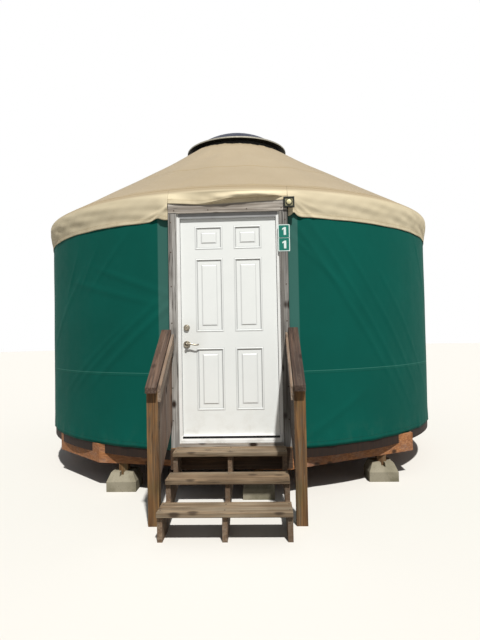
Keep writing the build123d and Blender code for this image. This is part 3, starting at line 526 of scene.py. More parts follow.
def doorPaint():
    # painted steel with an embossed grain: fine drawn-out noise; grime low down and round the lock, and
    # painted shade in the grooves, which lie at set distances from the nearest of the six panel rectangles
    paint = Paint("doorPaint", Specular_IOR_Level=0.45, Coat_Weight=0.08, Coat_Roughness=0.3)
    x, _, z = paint.axes()
    grain = paint.noise(5.0, 5, 0.6, paint.stretched((60, 60, 3.0)))
    slow = paint.noise(2.3, 4, 0.6)
    low = (1 - z.rise(0.56, 0.95)) * paint.noise(5.5, 5, 0.65).rise(0.42, 0.72)
    aside, above = x - doorFace["hand"][0], z - doorFace["hand"][1]
    hand = (1 - (aside * aside + above * above).rise(0.004, 0.05)) * 0.18
    colour = paint.mix(slow.rise(0.35, 0.75) * 0.35, tone(doorFace["white"]), tone(doorFace["worn"]))
    colour = paint.mix(low * 0.3, colour, tone(doorFace["lowDirt"]))
    colour = paint.mix(hand, colour, tone(doorFace["handDirt"]))
    away = None
    for bottom, top in doorFace["levels"]:
        past = abs(z - (bottom + top) / 2) - (top - bottom) / 2
        away = past if away is None else away.least(past)
    half = doorFace["width"] / 2
    away = away.most(abs(abs(x) - (doorFace["inner"] + half)) - half)
    # painted shade: grey lines in the grooves round each panel and at each field's step
    grooveShade = away.band(-0.005, 0.0035, 0.004) + away.band(0.012, 0.0010, 0.003) * 0.7
    stepShade = away.band(-0.046, 0.0030, 0.004) * 0.5
    colour = paint.mix((grooveShade + stepShade).least(1.0) * 0.5, colour, tone(doorFace["grooveShade"]))
    normal = paint.bump(grain, 0.18, 0.0006)
    return paint.set(Base_Color=colour, Roughness=grain * 0.14 + 0.38, Normal=normal)


# the last grey here is painted shade, for the frame's head under the header
trim = {"white": "eeeeec", "worn": "d5d3ce", "lowDirt": "a79f93", "grimeAndShade": "55565a"}


def whiteTrim(name, grimeAndShade):
    # old gloss paint with slow wear; the last argument mixes a dark grey over all of it, which is painted
    # shade
    paint = Paint(name, Specular_IOR_Level=0.4)
    slow = paint.noise(6.0, 5, 0.6)
    _, _, z = paint.axes()
    low = (1 - z.rise(0.5, 0.7)) * slow.rise(0.5, 0.7)
    colour = paint.mix(slow.rise(0.45, 0.7) * 0.4, tone(trim["white"]), tone(trim["worn"]))
    colour = paint.mix(low * 0.25, colour, tone(trim["lowDirt"]))
    if grimeAndShade:
        colour = paint.mix(slow * 0.2 + grimeAndShade, colour, tone(trim["grimeAndShade"]))
    return paint.set(Base_Color=colour, Roughness=slow * 0.2 + 0.4, Normal=paint.bump(slow, 0.1, 0.0008))


block = {"pale": "98917f", "dark": "77715f", "sand": "b3aa93", "moss": "6e6a55", "hole": "55514a"}


def concretePaint():
    # cast blocks: sand grain, small air holes from cells, and a damp, mossy foot
    paint = Paint("castConcrete", Specular_IOR_Level=0.2)
    _, _, z = paint.axes()
    sand = paint.noise(90, 5, 0.7)
    slow = paint.noise(5.0, 5, 0.65)
    holes = 1 - paint.cells(46).rise(0.10, 0.20)
    colour = paint.mix(slow.rise(0.35, 0.7), tone(block["pale"]), tone(block["dark"]))
    colour = paint.mix(sand * 0.3, colour, tone(block["sand"]))
    colour = paint.mix((1 - z.rise(0.0, 0.07)) * slow.rise(0.4, 0.6) * 0.6, colour, tone(block["moss"]))
    colour = paint.mix(holes * 0.5, colour, tone(block["hole"]))
    normal = paint.bump(sand * 0.4 + slow * 0.8 - holes * 0.6, 0.6, 0.003)
    return paint.set(Base_Color=colour, Roughness=sand * 0.1 + 0.85, Normal=normal)


def metalPaint(name, base, dark, rough, metallic=1.0, speck=0.5):
    # cloudy metal: slow noise mixes two tones and the gloss, and fine noise is its grain
    paint = Paint(name, Metallic=metallic)
    slow = paint.noise(30, 5, 0.6)
    grain = paint.bump(paint.noise(400, 3, 0.5), 0.06, 0.0003)
    colour = paint.mix(slow.rise(0.4, 0.75) * speck, tone(base), tone(dark))
    return paint.set(Base_Color=colour, Roughness=slow * 0.25 + (rough - 0.1), Normal=grain)


dome = {"level": 4.038, "radius": 0.640, "rise": 0.250, "flange": 0.685, "thickness": 0.004, "screws": 24,
        "rim": [(-0.024, 0.0002), (-0.024, 0.0022), (-0.022, 0.003), (0.001, 0.003), (0.003, 0.001),
                (0.003, -0.011), (0.005, -0.0125), (0.005, -0.015), (0.0033, -0.0165), (0.0012, -0.015),
                (0.0006, -0.011), (0.0006, 0.0002)],
        "tint": "131a30", "dust": "3c4358"}


def domePaint():
    # dark tinted acrylic with a film of dust that gathers towards the rim
    paint = Paint("tintedDome", Specular_IOR_Level=0.10)
    _, _, z = paint.axes()
    dust = paint.noise(7.0, 6, 0.7).rise(0.45, 0.75) * (1.15 - z.rise(4.04, 4.28))
    colour = paint.mix(dust * 0.2, tone(dome["tint"]), tone(dome["dust"]))
    waviness = paint.bump(paint.noise(3, 3, 0.5), 0.05, 0.004)
    return paint.set(Base_Color=colour, Roughness=dust * 0.2 + 0.42, Normal=waviness)


def enamelPaint(name, base, dirt, rough):
    # smooth paint, rubber or plastic: slow noise mixes in the dirt and breaks up the gloss
    paint = Paint(name, Specular_IOR_Level=0.3)
    slow = paint.noise(22, 5, 0.6)
    colour = paint.mix(slow.rise(0.45, 0.75) * 0.4, tone(base), tone(dirt))
    normal = paint.bump(slow, 0.05, 0.0006)
    return paint.set(Base_Color=colour, Roughness=slow * 0.2 + (rough - 0.08), Normal=normal)


metalFinish = {
    "nickel": {"name": "agedNickel", "base": "a39b8b", "dark": "4f473c", "rough": 0.34, "speck": 0.8},
    "zinc": {"name": "zincPlated", "base": "a9a9a6", "dark": "7a7a78", "rough": 0.42},
    "screw": {"name": "screwSteel", "base": "5c5148", "dark": "3a2c22", "rough": 0.6, "metallic": 0.8},
    "rim": {"name": "rimAluminium", "base": "aaa699", "dark": "77736a", "rough": 0.5, "metallic": 0.7},
    "cable": {"name": "cableSteel", "base": "9a9a98", "dark": "5d5d5b", "rough": 0.4}}
enamelFinish = {
    "curb": {"name": "darkPaint", "base": "15140f", "dirt": "2b2922", "rough": 0.5},
    "lampBody": {"name": "lampBody", "base": "232420", "dirt": "3b3c34", "rough": 0.4},
    "lampPanel": {"name": "lampCream", "base": "8f8a6c", "dirt": "6c684e", "rough": 0.5},
    "lens": {"name": "lensGlass", "base": "e6dcae", "dirt": "cfc290", "rough": 0.25},
    "plateGreen": {"name": "plateGreen", "base": "087464", "dirt": "0a6252", "rough": 0.6},
    "plateWhite": {"name": "plateWhite", "base": "e4f2ef", "dirt": "cadad6", "rough": 0.5},
    # black for the threshold's rubber strip, also used as painted shadow in open joints
    "rubberAndShadow": {"name": "blackRubberAndShadow", "base": "131315", "dirt": "242426", "rough": 0.7},
    "seal": {"name": "greySeal", "base": "55565a", "dirt": "3f4044", "rough": 0.7},
    "key": {"name": "keyDark", "base": "1b1916", "dirt": "2d2a25", "rough": 0.5}}
metal = {piece: metalPaint(**finish) for piece, finish in metalFinish.items()}
enamel = {piece: enamelPaint(**finish) for piece, finish in enamelFinish.items()}
deckBoards = boardFloor()
doorWhite = doorPaint()
trimWhite = whiteTrim("whiteTrim", 0.0)
# the frame's head: the same paint with dark grey over all of it, painted shade from the header above
trimPaintedShade = whiteTrim("paintedShadeTrim", 0.62)
concrete = concretePaint()
tintedDome = domePaint()
print("materials made")


def dress(material, *nodes):
    # a CAD node keeps its mesh and gets a finish
    for node in nodes:
        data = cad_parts[node].data
        data.materials.clear()
        data.materials.append(material)


def easedCopy(node, material, ease):
    # a sawn piece with its edges eased: the CAD mesh, copied, with a small bevel on every sharp edge
    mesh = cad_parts[node].data.copy()
    mesh.materials.clear()
    mesh.materials.append(material)
    piece = bpy.data.objects.new(node + "_eased", mesh)
    scene.collection.objects.link(piece)
    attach(piece, "yurt")
    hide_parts(node)
    bevel = piece.modifiers.new("eased", "BEVEL")
    bevel.width = ease
    bevel.segments = 3 if ease > 0.01 else 2
    bevel.limit_method = "ANGLE"
    bevel.angle_limit = np.radians(30)


dress(wood["frame"], "centre_beam")
dress(wood["joist"], "floor_joists")
dress(deckBoards, "floor_deck")
dress(wood["band"], "deck_band")
dress(wood["lattice"], "lattice_right", "lattice_back", "lattice_left", "lattice_end_battens")
dress(wood["rafter"], "rafters", "centre_ring")
dress(wood["header"], "header_beam")
dress(trimWhite, "door_frame_sides", "door_threshold")
# the head is greyed all over as painted shade
dress(trimPaintedShade, "door_frame_head")
dress(doorWhite, "door_leaf")
dress(metal["zinc"], "hinge_frame_plates", "hinge_door_plates")
dress(metal["nickel"], "lever_roses", "deadbolt")
dress(wood["ledger"], "stair_ledger")
dress(metal["cable"], "tension_cable")
dress(enamel["curb"], "dome_curb")

easedEdges = {
    "pier_posts": (wood["post"], 0.003), "handrail_posts": (wood["post"], 0.004),
    "platform_frame": (wood["frame"], 0.003), "door_jambs": (wood["jamb"], 0.003),
    "door_header": (wood["header"], 0.003), "door_sill": (wood["header"], 0.003),
    "stair_stringers": (wood["stringer"], 0.003), "stair_treads": (wood["tread"], 0.005),
    "handrail_caps": (wood["cap"], 0.004), "handrails": (wood["rail"], 0.003),
    "side_boards": (wood["sideBoard"], 0.003), "pier_blocks": (concrete, 0.020)}
for node, (material, ease) in easedEdges.items():
    easedCopy(node, material, ease)
print("frame dressed")


# Canvas
def thicken(piece):
    # the sheet is given its thickness outwards from the modelled surface
    solid = piece.modifiers.new("cloth", "SOLIDIFY")
    solid.thickness = cloth["thickness"]
    solid.offset = 1.0


def wallSheet(name, start, end, node, creases):
    # a cylinder grid: radius = rest radius + slow waves + slanting creases + a flutter that grows to the hem
    columns, rows = 440, 88
    foot, head = wallCloth["foot"], wallCloth["head"]
    azimuth = np.linspace(start, end, columns)[None, :]
    level = np.linspace(foot, head, rows)[:, None]
    turn = np.radians(azimuth)
    fromDoor = np.minimum(azimuth, 360 - azimuth)
    out = waves(azimuth, wallCloth["sag"]) * smoothStep(0.43, 0.9, level)
    out = out + 0.0016 * np.sin(level * 2.3 + turn * 5) * np.sin(level * 5.1 - turn * 9)
    # a crease is a soft ridge on a slanting line: a bell across it and a flat-topped bell along it
    for middle, height, slope, size, width, length in creases:
        aside = np.radians(fromDoor - middle) * wallCloth["radius"]
        off = (level - height - slope * aside) / np.hypot(1, slope)
        along = aside + (level - height) * slope
        out = out + size * np.exp(-(off / width) ** 2) * np.exp(-(along / length) ** 4)
    low = 1 - smoothStep(foot, 0.62, level)
    out = out + waves(azimuth, wallCloth["flutter"]) * low + 0.001
    out = out - 0.0012 * np.exp(-((level - foot - 0.02) / 0.02) ** 2)
    radius = wallCloth["radius"] + np.maximum(out, -0.0008)
    points = onRound(azimuth, radius, level + waves(azimuth, wallCloth["footRise"]) * low)
    uv = np.stack(np.broadcast_arrays(turn * wallCloth["radius"], level - foot), axis=-1)
    piece = newPiece(name, points, gridFaces(rows, columns), "yurt", greenCanvas, "green_canvas", uv)
    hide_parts(node)
    thicken(piece)
    width = float(np.radians(end - start) * wallCloth["radius"])


doorEdge = float(np.degrees(np.arcsin(wallCloth["edge"] / wallCloth["radius"])))
wallSheet("wallCoverRight", doorEdge, 180.0, "wall_cover_right", wallCloth["creasesRight"])
wallSheet("wallCoverLeft", 180.0, 360 - doorEdge, "wall_cover_left", wallCloth["creasesLeft"])


def eaveArc():
    # the cover's bend over the eave: an arc that touches the slope and the wall's line; swing is the angle of
    # its normal above the level
    bend = roofCloth["eaveRound"]
    steepest = np.pi / 2 - np.arctan(roofCloth["slope"])
    swing = np.linspace(steepest, 0, 6)
    middle = roofCloth["eaveLevel"] - bend * np.tan(steepest / 2)
    return swing, roofCloth["eaveRadius"] - bend + bend * np.cos(swing), middle + bend * np.sin(swing)


def roofSheet():
    # the profile is a straight slope, an arc over the eave and a short lip; between rafters it dips along its
    # normal
    columns = 720
    crownRadius, eaveRadius = roofCloth["crownRadius"], roofCloth["eaveRadius"]
    azimuth = np.linspace(0, 360, columns, endpoint=False)[None, :]
    turn = np.radians(azimuth)
    swing, arcRadius, arcLevel = eaveArc()
    run = np.linspace(crownRadius, arcRadius[0], 48)[:-1]
    straight = roofCloth["crownLevel"] - (run - crownRadius) * roofCloth["slope"]
    radius = np.concatenate([run, arcRadius, [eaveRadius]])[:, None]
    level = np.concatenate([straight, arcLevel, [roofCloth["lip"]]])[:, None]
    lean = np.concatenate([np.full(len(run), swing[0]), swing, [0.0]])[:, None]
    share = (radius - crownRadius) / (eaveRadius - crownRadius)
    between = 0.5 - 0.5 * np.cos((turn - np.pi / roofCloth["rafters"]) * roofCloth["rafters"])
    dip = -roofCloth["dip"] * between * np.sin(np.pi * np.clip(share, 0, 1)) ** 0.8
    ripple = waves(azimuth, roofCloth["ripple"]) * smoothStep(0.72, 1.0, share)
    pull = waves(azimuth, roofCloth["pull"]) * (1 - smoothStep(0.0, 0.12, share))
    warp = 0.0028 * np.sin(turn * 11 + share * 7) * np.sin(share * 9 + turn * 5)
    crown = (1 - smoothStep(0.0, 0.30, share)) * (0.016 + 0.018 * np.exp(-((azimuth - 325) / 24) ** 2))
    calm = 1 - smoothStep(2.30, 2.38, radius)
    lift = np.maximum(dip + ripple + pull + warp, -0.009) * calm + 0.0018 + crown
    points = onRound(azimuth, radius + lift * np.cos(lean), level + lift * np.sin(lean))
    steps = np.hypot(np.diff(radius[:, 0]), np.diff(level[:, 0]))
    down = np.concatenate([[0], np.cumsum(steps)])[:, None]
    uv = np.stack(np.broadcast_arrays(turn * 2.0, down), axis=-1)
    faces = gridFaces(len(radius), columns, wrapColumns=True)[:, ::-1]
    piece = newPiece("roofCover", points, faces, "yurt", tanCanvas, "tan_canvas", uv)
    thicken(piece)
    return piece


def eaveRows():
    # rows shared by both stretches of the skirt: a strip sewn to the slope, then the eave's arc, both lifted
    # off the cover
    swing, arcRadius, arcLevel = eaveArc()
    sewnRadius = skirtCloth["sewn"] + np.array([0.0, 0.02, 0.04])
    sewnLevel = roofCloth["eaveLevel"] + (roofCloth["eaveRadius"] - sewnRadius) * roofCloth["slope"]
    radius = np.concatenate([sewnRadius, arcRadius])
    level = np.concatenate([sewnLevel, arcLevel])
    lean = np.concatenate([np.full(3, swing[0]), swing])
    return radius + skirtCloth["lift"] * np.cos(lean), level + skirtCloth["lift"] * np.sin(lean)


def skirtRound():
    # from jamb to jamb round the back: soft slanting wrinkles between the eave and a taut hem by the wall
    columns, rows = 1150, 24
    topRadius, topLevel = eaveRows()
    share = np.linspace(0, 1, rows + 1)[1:, None]
    place = np.linspace(0, 1, columns)[None, :]
    hangRadius = topRadius[-1] + (skirtCloth["hemRadius"] - topRadius[-1]) * smoothStep(0.1, 1.0, share)
    radius = np.concatenate([topRadius[:, None], hangRadius]) + 0 * place
    half = np.degrees(np.arcsin(skirtCloth["jambRight"] / radius))
    azimuth = half + (360 - 2 * half) * place
    turn = np.radians(azimuth[-1:])
    # on the back half x is set to 9 m, which keeps it out of the creases beside the door
    x = np.where(np.cos(turn) > 0, radius[-1:] * np.sin(turn), 9.0)
    hem = skirtCloth["hem"] + waves(azimuth[-1:], skirtCloth["hemWaves"])
    hem = hem + skirtCloth["pleatRise"] * np.exp(-np.abs((x - skirtCloth["pleat"]) / 0.030) ** 1.6)
    hem = hem + skirtCloth["tuckRise"] * np.exp(-((x - skirtCloth["leftTuck"]) / 0.05) ** 2)
    hang = topLevel[-1] + (hem - topLevel[-1]) * share
    body = np.sin(np.pi * share) ** 0.7
    wrinkle = 0.0016 * np.sin(turn * 31 + hang * 38 + 1.6 * np.sin(turn * 7))
    wrinkle = wrinkle + 0.0011 * np.sin(hang * 70 + turn * 19 + 2.2 * np.sin(turn * 5))
    wrinkle = wrinkle + 0.0006 * np.sin(turn * 83 - hang * 40 + 1.1 * np.sin(turn * 11))
    out = wrinkle * body + 0.002 * body + 0.0015 * share * np.sin(turn * 37)
    for side, high in skirtCloth["fanCorners"]:
        # three creases fan out from the header's end: each is a bell across a ray from that point
        away = side * x - 0.575
        reach = np.where((away > -0.03) & (away < 1.2), np.exp(-(away / 0.30) ** 2), 0.0)
        for fall, size in skirtCloth["fanRays"]:
            off = (hang - high + fall * away) / np.hypot(1, fall)
            out = out + size * np.exp(-(off / 0.016) ** 2) * reach * share
        out = out + np.where(away < 1.0, 0.026 * share ** 0.7 * np.exp(-(away / 0.09) ** 2), 0.0)
    radius[len(topRadius):] += np.maximum(out, -0.004 * body)
    level = np.concatenate([np.broadcast_to(topLevel[:, None], (len(topLevel), columns)), hang])
    uv = np.stack(np.broadcast_arrays(np.radians(azimuth) * roofCloth["eaveRadius"], level - hem), axis=-1)
    return onRound(azimuth, radius, level), gridFaces(*level.shape), uv


def skirtFront():
    # over the header: the cloth stands off in a soft fold, then tucks back to the board's face; depth is -y
    columns, rows = 150, 36
    topRadius, topLevel = eaveRows()
    x = np.linspace(-skirtCloth["jambRight"], skirtCloth["jambRight"], columns)[None, :]
    share = np.linspace(0, 1, rows + 1)[1:, None]
    hem, fold = (np.interp(x, *np.array(skirtCloth[line]).T) for line in ("doorHem", "fold"))
    hang = topLevel[-1] + (hem - topLevel[-1]) * share
    topDepth = np.sqrt(topRadius[:, None] ** 2 - x ** 2)
    drawnIn = smoothStep(-0.5, 0.75, share) - smoothStep(-0.5, 0.75, 0.0) * (1 - share)
    depth = topDepth[-1] + (skirtCloth["face"] - topDepth[-1]) * drawnIn
    bulge = 0.007 + 0.023 * smoothStep(-0.30, 0.0, x)
    bulge = bulge * smoothStep(-0.56, -0.48, x) * (1 - smoothStep(0.42, 0.55, x))
    body = smoothStep(0.0, 0.75, (topLevel[-1] - hang) / (topLevel[-1] - fold))
    tuck = 1 - smoothStep(-0.003, 0.006, fold - hang)
    ripple = 0.0022 * np.sin(x * 30 + hang * 60) * body * (1 - np.abs(x) / 0.56)
    depth = depth + (bulge * body + ripple) * tuck
    depth = np.maximum(depth, np.where(hang < 2.786, skirtCloth["face"], 0.0))
    depth = np.concatenate([topDepth, depth])
    level = np.concatenate([np.broadcast_to(topLevel[:, None], (len(topLevel), columns)), hang])
    points = np.stack(np.broadcast_arrays(x, -depth, level), axis=-1)
    uv = np.stack(np.broadcast_arrays(x, level - hem), axis=-1)
    return points, gridFaces(*level.shape), uv


def skirtSheet():
    # one cloth: the round valance and the stretch over the door, sewn at the header's ends
    parts = [skirtRound(), skirtFront()]
    points, faces = joined([part[:2] for part in parts])
    faces = [face[::-1] for face in faces]
    uv = np.concatenate([part[2].reshape(-1, 2) for part in parts])
    piece = newPiece("roofSkirt", points, faces, "yurt", skirtCanvas, "tan_canvas", uv)
    thicken(piece)


roof = roofSheet()
skirtSheet()
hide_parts("roof_cover_front", "roof_cover_right", "roof_cover_back", "roof_cover_left")
print("canvas made")


# Skylight
def domeShape():
    # a spherical cap from the crown down the inside, round the flange and up the outside; the sphere's radius
    # is (edge radius squared + rise squared) / twice the rise
    sphere = (dome["radius"] ** 2 + dome["rise"] ** 2) / (2 * dome["rise"])
    centre = dome["level"] + dome["rise"] - sphere
    base, thick = dome["level"], dome["thickness"]
    swing = np.linspace(np.arcsin(dome["radius"] / sphere), 0.0004, 40)
    outer = np.stack([sphere * np.sin(swing), centre + sphere * np.cos(swing)], axis=1)
    outer[0] = [outer[0, 0] + 0.002, base + thick]
    inner = np.stack([(sphere - thick) * np.sin(swing), centre + (sphere - thick) * np.cos(swing)], axis=1)
    inner[0, 1] = base
    edge = dome["flange"]
    flange = [(edge - 0.001, base), (edge, base + thick / 2), (edge - 0.001, base + thick)]
    profile = np.concatenate([inner[::-1], flange, outer])
    piece = lathe("skylightDome", profile, 144, "yurt", tintedDome, "dome_tint")
    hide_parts("dome_skylight")


def rimShape():
    # the metal edge: over the dome's flange and down past the curb's, with a rolled lip, and a ring of screws
    r, z = dome["flange"], dome["level"] + dome["thickness"]
    profile = np.array(dome["rim"] + dome["rim"][:1]) + (r, z)
    piece = lathe("skylightRim", profile, 144, "yurt", metal["rim"], "rim_metal", smooth=False)
    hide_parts("dome_rim")
    turn = np.arange(dome["screws"]) * 360 / dome["screws"]
    places = onRound(turn, r - 0.012, z + 0.0029)
    points, faces = scattered(headShape(0.006, 0.0035), places, np.tile([[0.0, 0.0, 1.0]], (len(turn), 1)))
    newPiece("rimScrews", points, faces, "yurt", metal["zinc"], "rim_metal")


domeShape()
rimShape()
print("skylight made")


# Fasteners and seals
screws = {
    "head": 0.0062, "height": 0.0025,
    "treadFronts": [(-2.710, 0.488), (-3.070, 0.355), (-3.430, 0.222)], "treadRows": (-0.476, 0.0, 0.476),
    "treadInsets": (0.055, 0.185),
    "capX": 0.5845, "capSpots": (-3.075, -3.035, -2.75, -2.48), "capEnd": (-2.435, 1.560), "capSlope": 0.645,
    "jambX": 0.533, "jambLevels": (0.72, 1.02, 1.30, 1.62, 1.96, 2.28, 2.56), "timberFace": -2.435,
    "boardX": 0.565, "boardSpots": (-2.50, -2.65, -2.79, -2.94), "boardRises": (0.06, 0.22),
    "boardFoot": (-2.435, 0.682), "boardSlope": 0.533,
    "headerSpots": (-0.50, -0.18, 0.18, 0.50), "headerLevel": 2.668, "ledgerFace": -2.473,
    "ledgerLevel": 0.42}


def screwSet():
    # screw heads where boards are fixed: treads, handrail caps, jambs, side boards, header and ledger
    heads = []  # each is a place and the direction in which the head looks
    for front, top in screws["treadFronts"]:
        for x in screws["treadRows"]:
            heads += [((x, front + inset, top), (0, 0, 1)) for inset in screws["treadInsets"]]
    squareToCap = np.array([0, -screws["capSlope"], 1.0]) / np.hypot(screws["capSlope"], 1.0)
    capEnd, capTop = screws["capEnd"]
    boardEnd, boardFoot = screws["boardFoot"]
    for side in (-1, 1):
        for y in screws["capSpots"]:
            z = capTop - screws["capSlope"] * (capEnd - y)
            heads.append(((side * screws["capX"], y, z), squareToCap))
        for z in screws["jambLevels"]:
            heads.append(((side * screws["jambX"], screws["timberFace"], z), (0, -1, 0)))
        for y in screws["boardSpots"]:
            low = boardFoot + (y - boardEnd) * screws["boardSlope"]
            for rise in screws["boardRises"]:
                heads.append(((side * screws["boardX"], y, low + rise), (side, 0, 0)))
    for x in screws["headerSpots"]:
        heads.append(((x, screws["timberFace"], screws["headerLevel"]), (0, -1, 0)))
        heads.append(((x, screws["ledgerFace"], screws["ledgerLevel"]), (0, -1, 0)))
    places, ways = zip(*heads)
    points, faces = scattered(headShape(screws["head"], screws["height"]), places, ways)
    newPiece("timberScrews", points, faces, "yurt", metal["screw"], "steel_cable")


screwSet()


def box(low, high):
    # a plain box between two corners
    (x0, y0, z0), (x1, y1, z1) = low, high
    points = [(x, y, z) for z in (z0, z1) for y in (y0, y1) for x in (x0, x1)]
    faces = [(0, 2, 3, 1), (4, 5, 7, 6), (0, 1, 5, 4), (2, 6, 7, 3), (0, 4, 6, 2), (1, 3, 7, 5)]
    return points, faces


seals = {"x": 0.4485, "half": 0.0012, "back": -2.3954, "front": -2.3995, "foot": 0.576, "head": 2.592}
# the header and sill joint boxes are painted shadow; the strip is the threshold's black insert
darkLines = {
    "headerX": 0.517, "headerHalf": 0.037, "headerDepths": (-2.4357, -2.4343),
    "headerLevels": (2.6405, 2.6455),
    "strip": ((-0.448, -2.4225, 0.5520), (0.448, -2.4165, 0.5705)),
    "sillJoint": ((-0.462, -2.4262, 0.5060), (0.462, -2.4240, 0.5095))}


def doorSeals():
    # boxes: a grey seal between each stop and the leaf
    x, half = seals["x"], seals["half"]
    parts = []
    for side in (-1, 1):
        low = (side * x - half, seals["front"], seals["foot"])
        high = (side * x + half, seals["back"], seals["head"])
        parts.append(box(low, high))
    points, faces = joined(parts)
    newPiece("doorSeals", points, faces, "yurt", enamel["seal"], "hinge_metal", smooth=False)


def jointLines():
    # boxes: painted shadow in the open joints of header on jambs and of threshold on sill, which show as dark
    # lines, and the black strip let into the threshold's sloping face
    x, half = darkLines["headerX"], darkLines["headerHalf"]
    (front, back), (low, high) = darkLines["headerDepths"], darkLines["headerLevels"]
    parts = [box((side * x - half, front, low), (side * x + half, back, high)) for side in (-1, 1)]
    parts += [box(*darkLines["strip"]), box(*darkLines["sillJoint"])]
    points, faces = joined(parts)
    newPiece("jointLines", points, faces, "yurt", enamel["rubberAndShadow"], "hinge_metal", smooth=False)


doorSeals()
jointLines()


# each point of the bead's section is (outwards from the panel's edge, height over the leaf)
beads = {"section": [(-0.0075, -0.0062), (-0.0050, -0.0040), (-0.0030, -0.0012), (-0.0010, 0.0012),
                     (0.0020, 0.0026), (0.0055, 0.0026), (0.0090, 0.0014), (0.0110, -0.0003),
                     (0.0, -0.0004)]}


def doorBeads():
    # an ogee bead round each panel: its section is carried round the panel's four mitred corners
    section = np.array(beads["section"])
    corners = np.array([(-1, -1), (1, -1), (1, 1), (-1, 1)], float)
    parts = []
    for side in (-1, 1):
        for low, high in doorFace["levels"]:
            middle = side * (doorFace["inner"] + doorFace["width"] / 2)
            half = np.array([doorFace["width"] / 2, (high - low) / 2])
            flat = corners[:, None] * (half + section[None, :, :1])
            depth = doorFace["face"] - np.broadcast_to(section[:, 1], flat.shape[:2])
            points = np.stack([middle + flat[..., 0], depth, (low + high) / 2 + flat[..., 1]], axis=-1)
            parts.append((points, gridFaces(4, len(section), wrapRows=True, wrapColumns=True)[:, ::-1]))
    points, faces = joined(parts)
    newPiece("doorBeads", points, faces, "door", doorWhite, "white_paint", smooth=False)


doorBeads()


lock = {
    "x": -0.401, "leverLevel": 1.420, "boltLevel": 1.575, "face": -2.395, "inside": -2.351, "reach": 0.118,
    "hub": [(0.0060, 0.0093), (0.0115, 0.0100), (0.0122, 0.0160), (0.0095, 0.0230), (0.0098, 0.0330),
            (0.0130, 0.0360), (0.0125, 0.0425), (0.0060, 0.0432)],
    "armOut": 0.0385, "armSize": 0.0062, "spindle": 0.006, "spindleOut": 0.012,
    "boltRings": [(0.0240, 0.0135), (0.0155, 0.0168)], "roseRing": (0.0290, 0.0080), "ring": 0.0022,
    "slot": (0.0012, 0.0055)}


def leverShape():
    # a cast lever: a spindle through the leaf, and on each side a turned hub and a waved arm that thins
    x, level = lock["x"], lock["leverLevel"]
    sides, steps = 12, 26
    along = np.linspace(0, 1, steps)
    reach = x + 0.004 + along * (lock["reach"] - 0.006)
    wave = 0.0085 * np.sin(along * tau * 0.95 + 0.3) * (0.35 + 0.65 * along)
    size = lock["armSize"] - 0.0022 * along + 0.0016 * np.exp(-((along - 0.93) / 0.06) ** 2)
    parts = []
    for face, way in ((lock["face"], -1), (lock["inside"], 1)):
        hub = turned(x, level, face, [(radius, way * out) for radius, out in lock["hub"]], 20)
        faces = gridFaces(*hub.shape[:2], wrapColumns=True)
        parts.append(capped(hub.reshape(-1, 3), faces if way > 0 else faces[:, ::-1], 20))
        path = np.stack([reach, np.full(steps, face + way * lock["armOut"]), level + wave], axis=1)
        ring, faces = tube(path, size, sides)
        ring = ring.reshape(-1, sides, 3)
        ring[..., 2] = path[:, None, 2] + (ring[..., 2] - path[:, None, 2]) * 1.45  # taller than it is deep
        parts.append(capped(ring.reshape(-1, 3), faces, sides))
    ends = [(x, lock["face"] - lock["spindleOut"], level), (x, lock["inside"] + lock["spindleOut"], level)]
    parts.append(capped(*tube(ends, lock["spindle"], 16), 16))
    points, faces = joined(parts)
    piece = newPiece("leverArms", points, faces, "lever", metal["nickel"], "lock_metal")
    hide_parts("lever_handle")


def lockTrim():
    # tubes round circles: two raised rings on the deadbolt and one on the lever's rose; then a dark key slot
    x, face = lock["x"], lock["face"]
    rings = [(lock["boltLevel"], *ring) for ring in lock["boltRings"]]
    rings.append((lock["leverLevel"], *lock["roseRing"]))
    parts = [tube(turned(x, level, face, [(radius, -out)], 28)[0], lock["ring"], 8, closed=True)
             for level, radius, out in rings]
    points, faces = joined(parts)
    newPiece("lockRings", points, faces, "door", metal["nickel"], "lock_metal")
    half, tall = lock["slot"]
    points, faces = box((x - half, face - 0.0168, lock["boltLevel"] - tall),
                        (x + half, face - 0.0158, lock["boltLevel"] + tall))
    newPiece("keySlot", points, faces, "door", enamel["key"], "lock_metal", smooth=False)


leverShape()
lockTrim()
print("door made")


# Number plates and lamp
plates = {
    "x": 0.5205, "levels": (2.4500, 2.3245), "face": -2.4353, "thick": 0.0027, "width": 0.108,
    "height": 0.1235, "corner": 0.006, "border": 0.0075, "fieldShifts": (-0.0030, 0.0030),
    "fieldCorner": 0.004, "figureHeight": 0.072,
    "figure": [(-0.02, -0.5), (0.28, -0.5), (0.28, 0.5), (0.06, 0.5), (-0.22, 0.34), (-0.22, 0.14),
               (-0.02, 0.24)]}


def roundedPlate(x, level, wide, tall, back, front, corner):
    # a closed plate: a rounded rectangle at the back and at the front, each closed by a fan
    turn = np.linspace(0, tau, 40, endpoint=False)
    cos, sin = np.cos(turn), np.sin(turn)
    px = x + np.sign(cos) * (wide / 2 - corner) + corner * cos
    pz = level + np.sign(sin) * (tall / 2 - corner) + corner * sin
    rims = [np.stack([px, np.full_like(px, y), pz], axis=1) for y in (back, front)]
    return capped(np.concatenate(rims), gridFaces(2, 40, wrapColumns=True), 40)


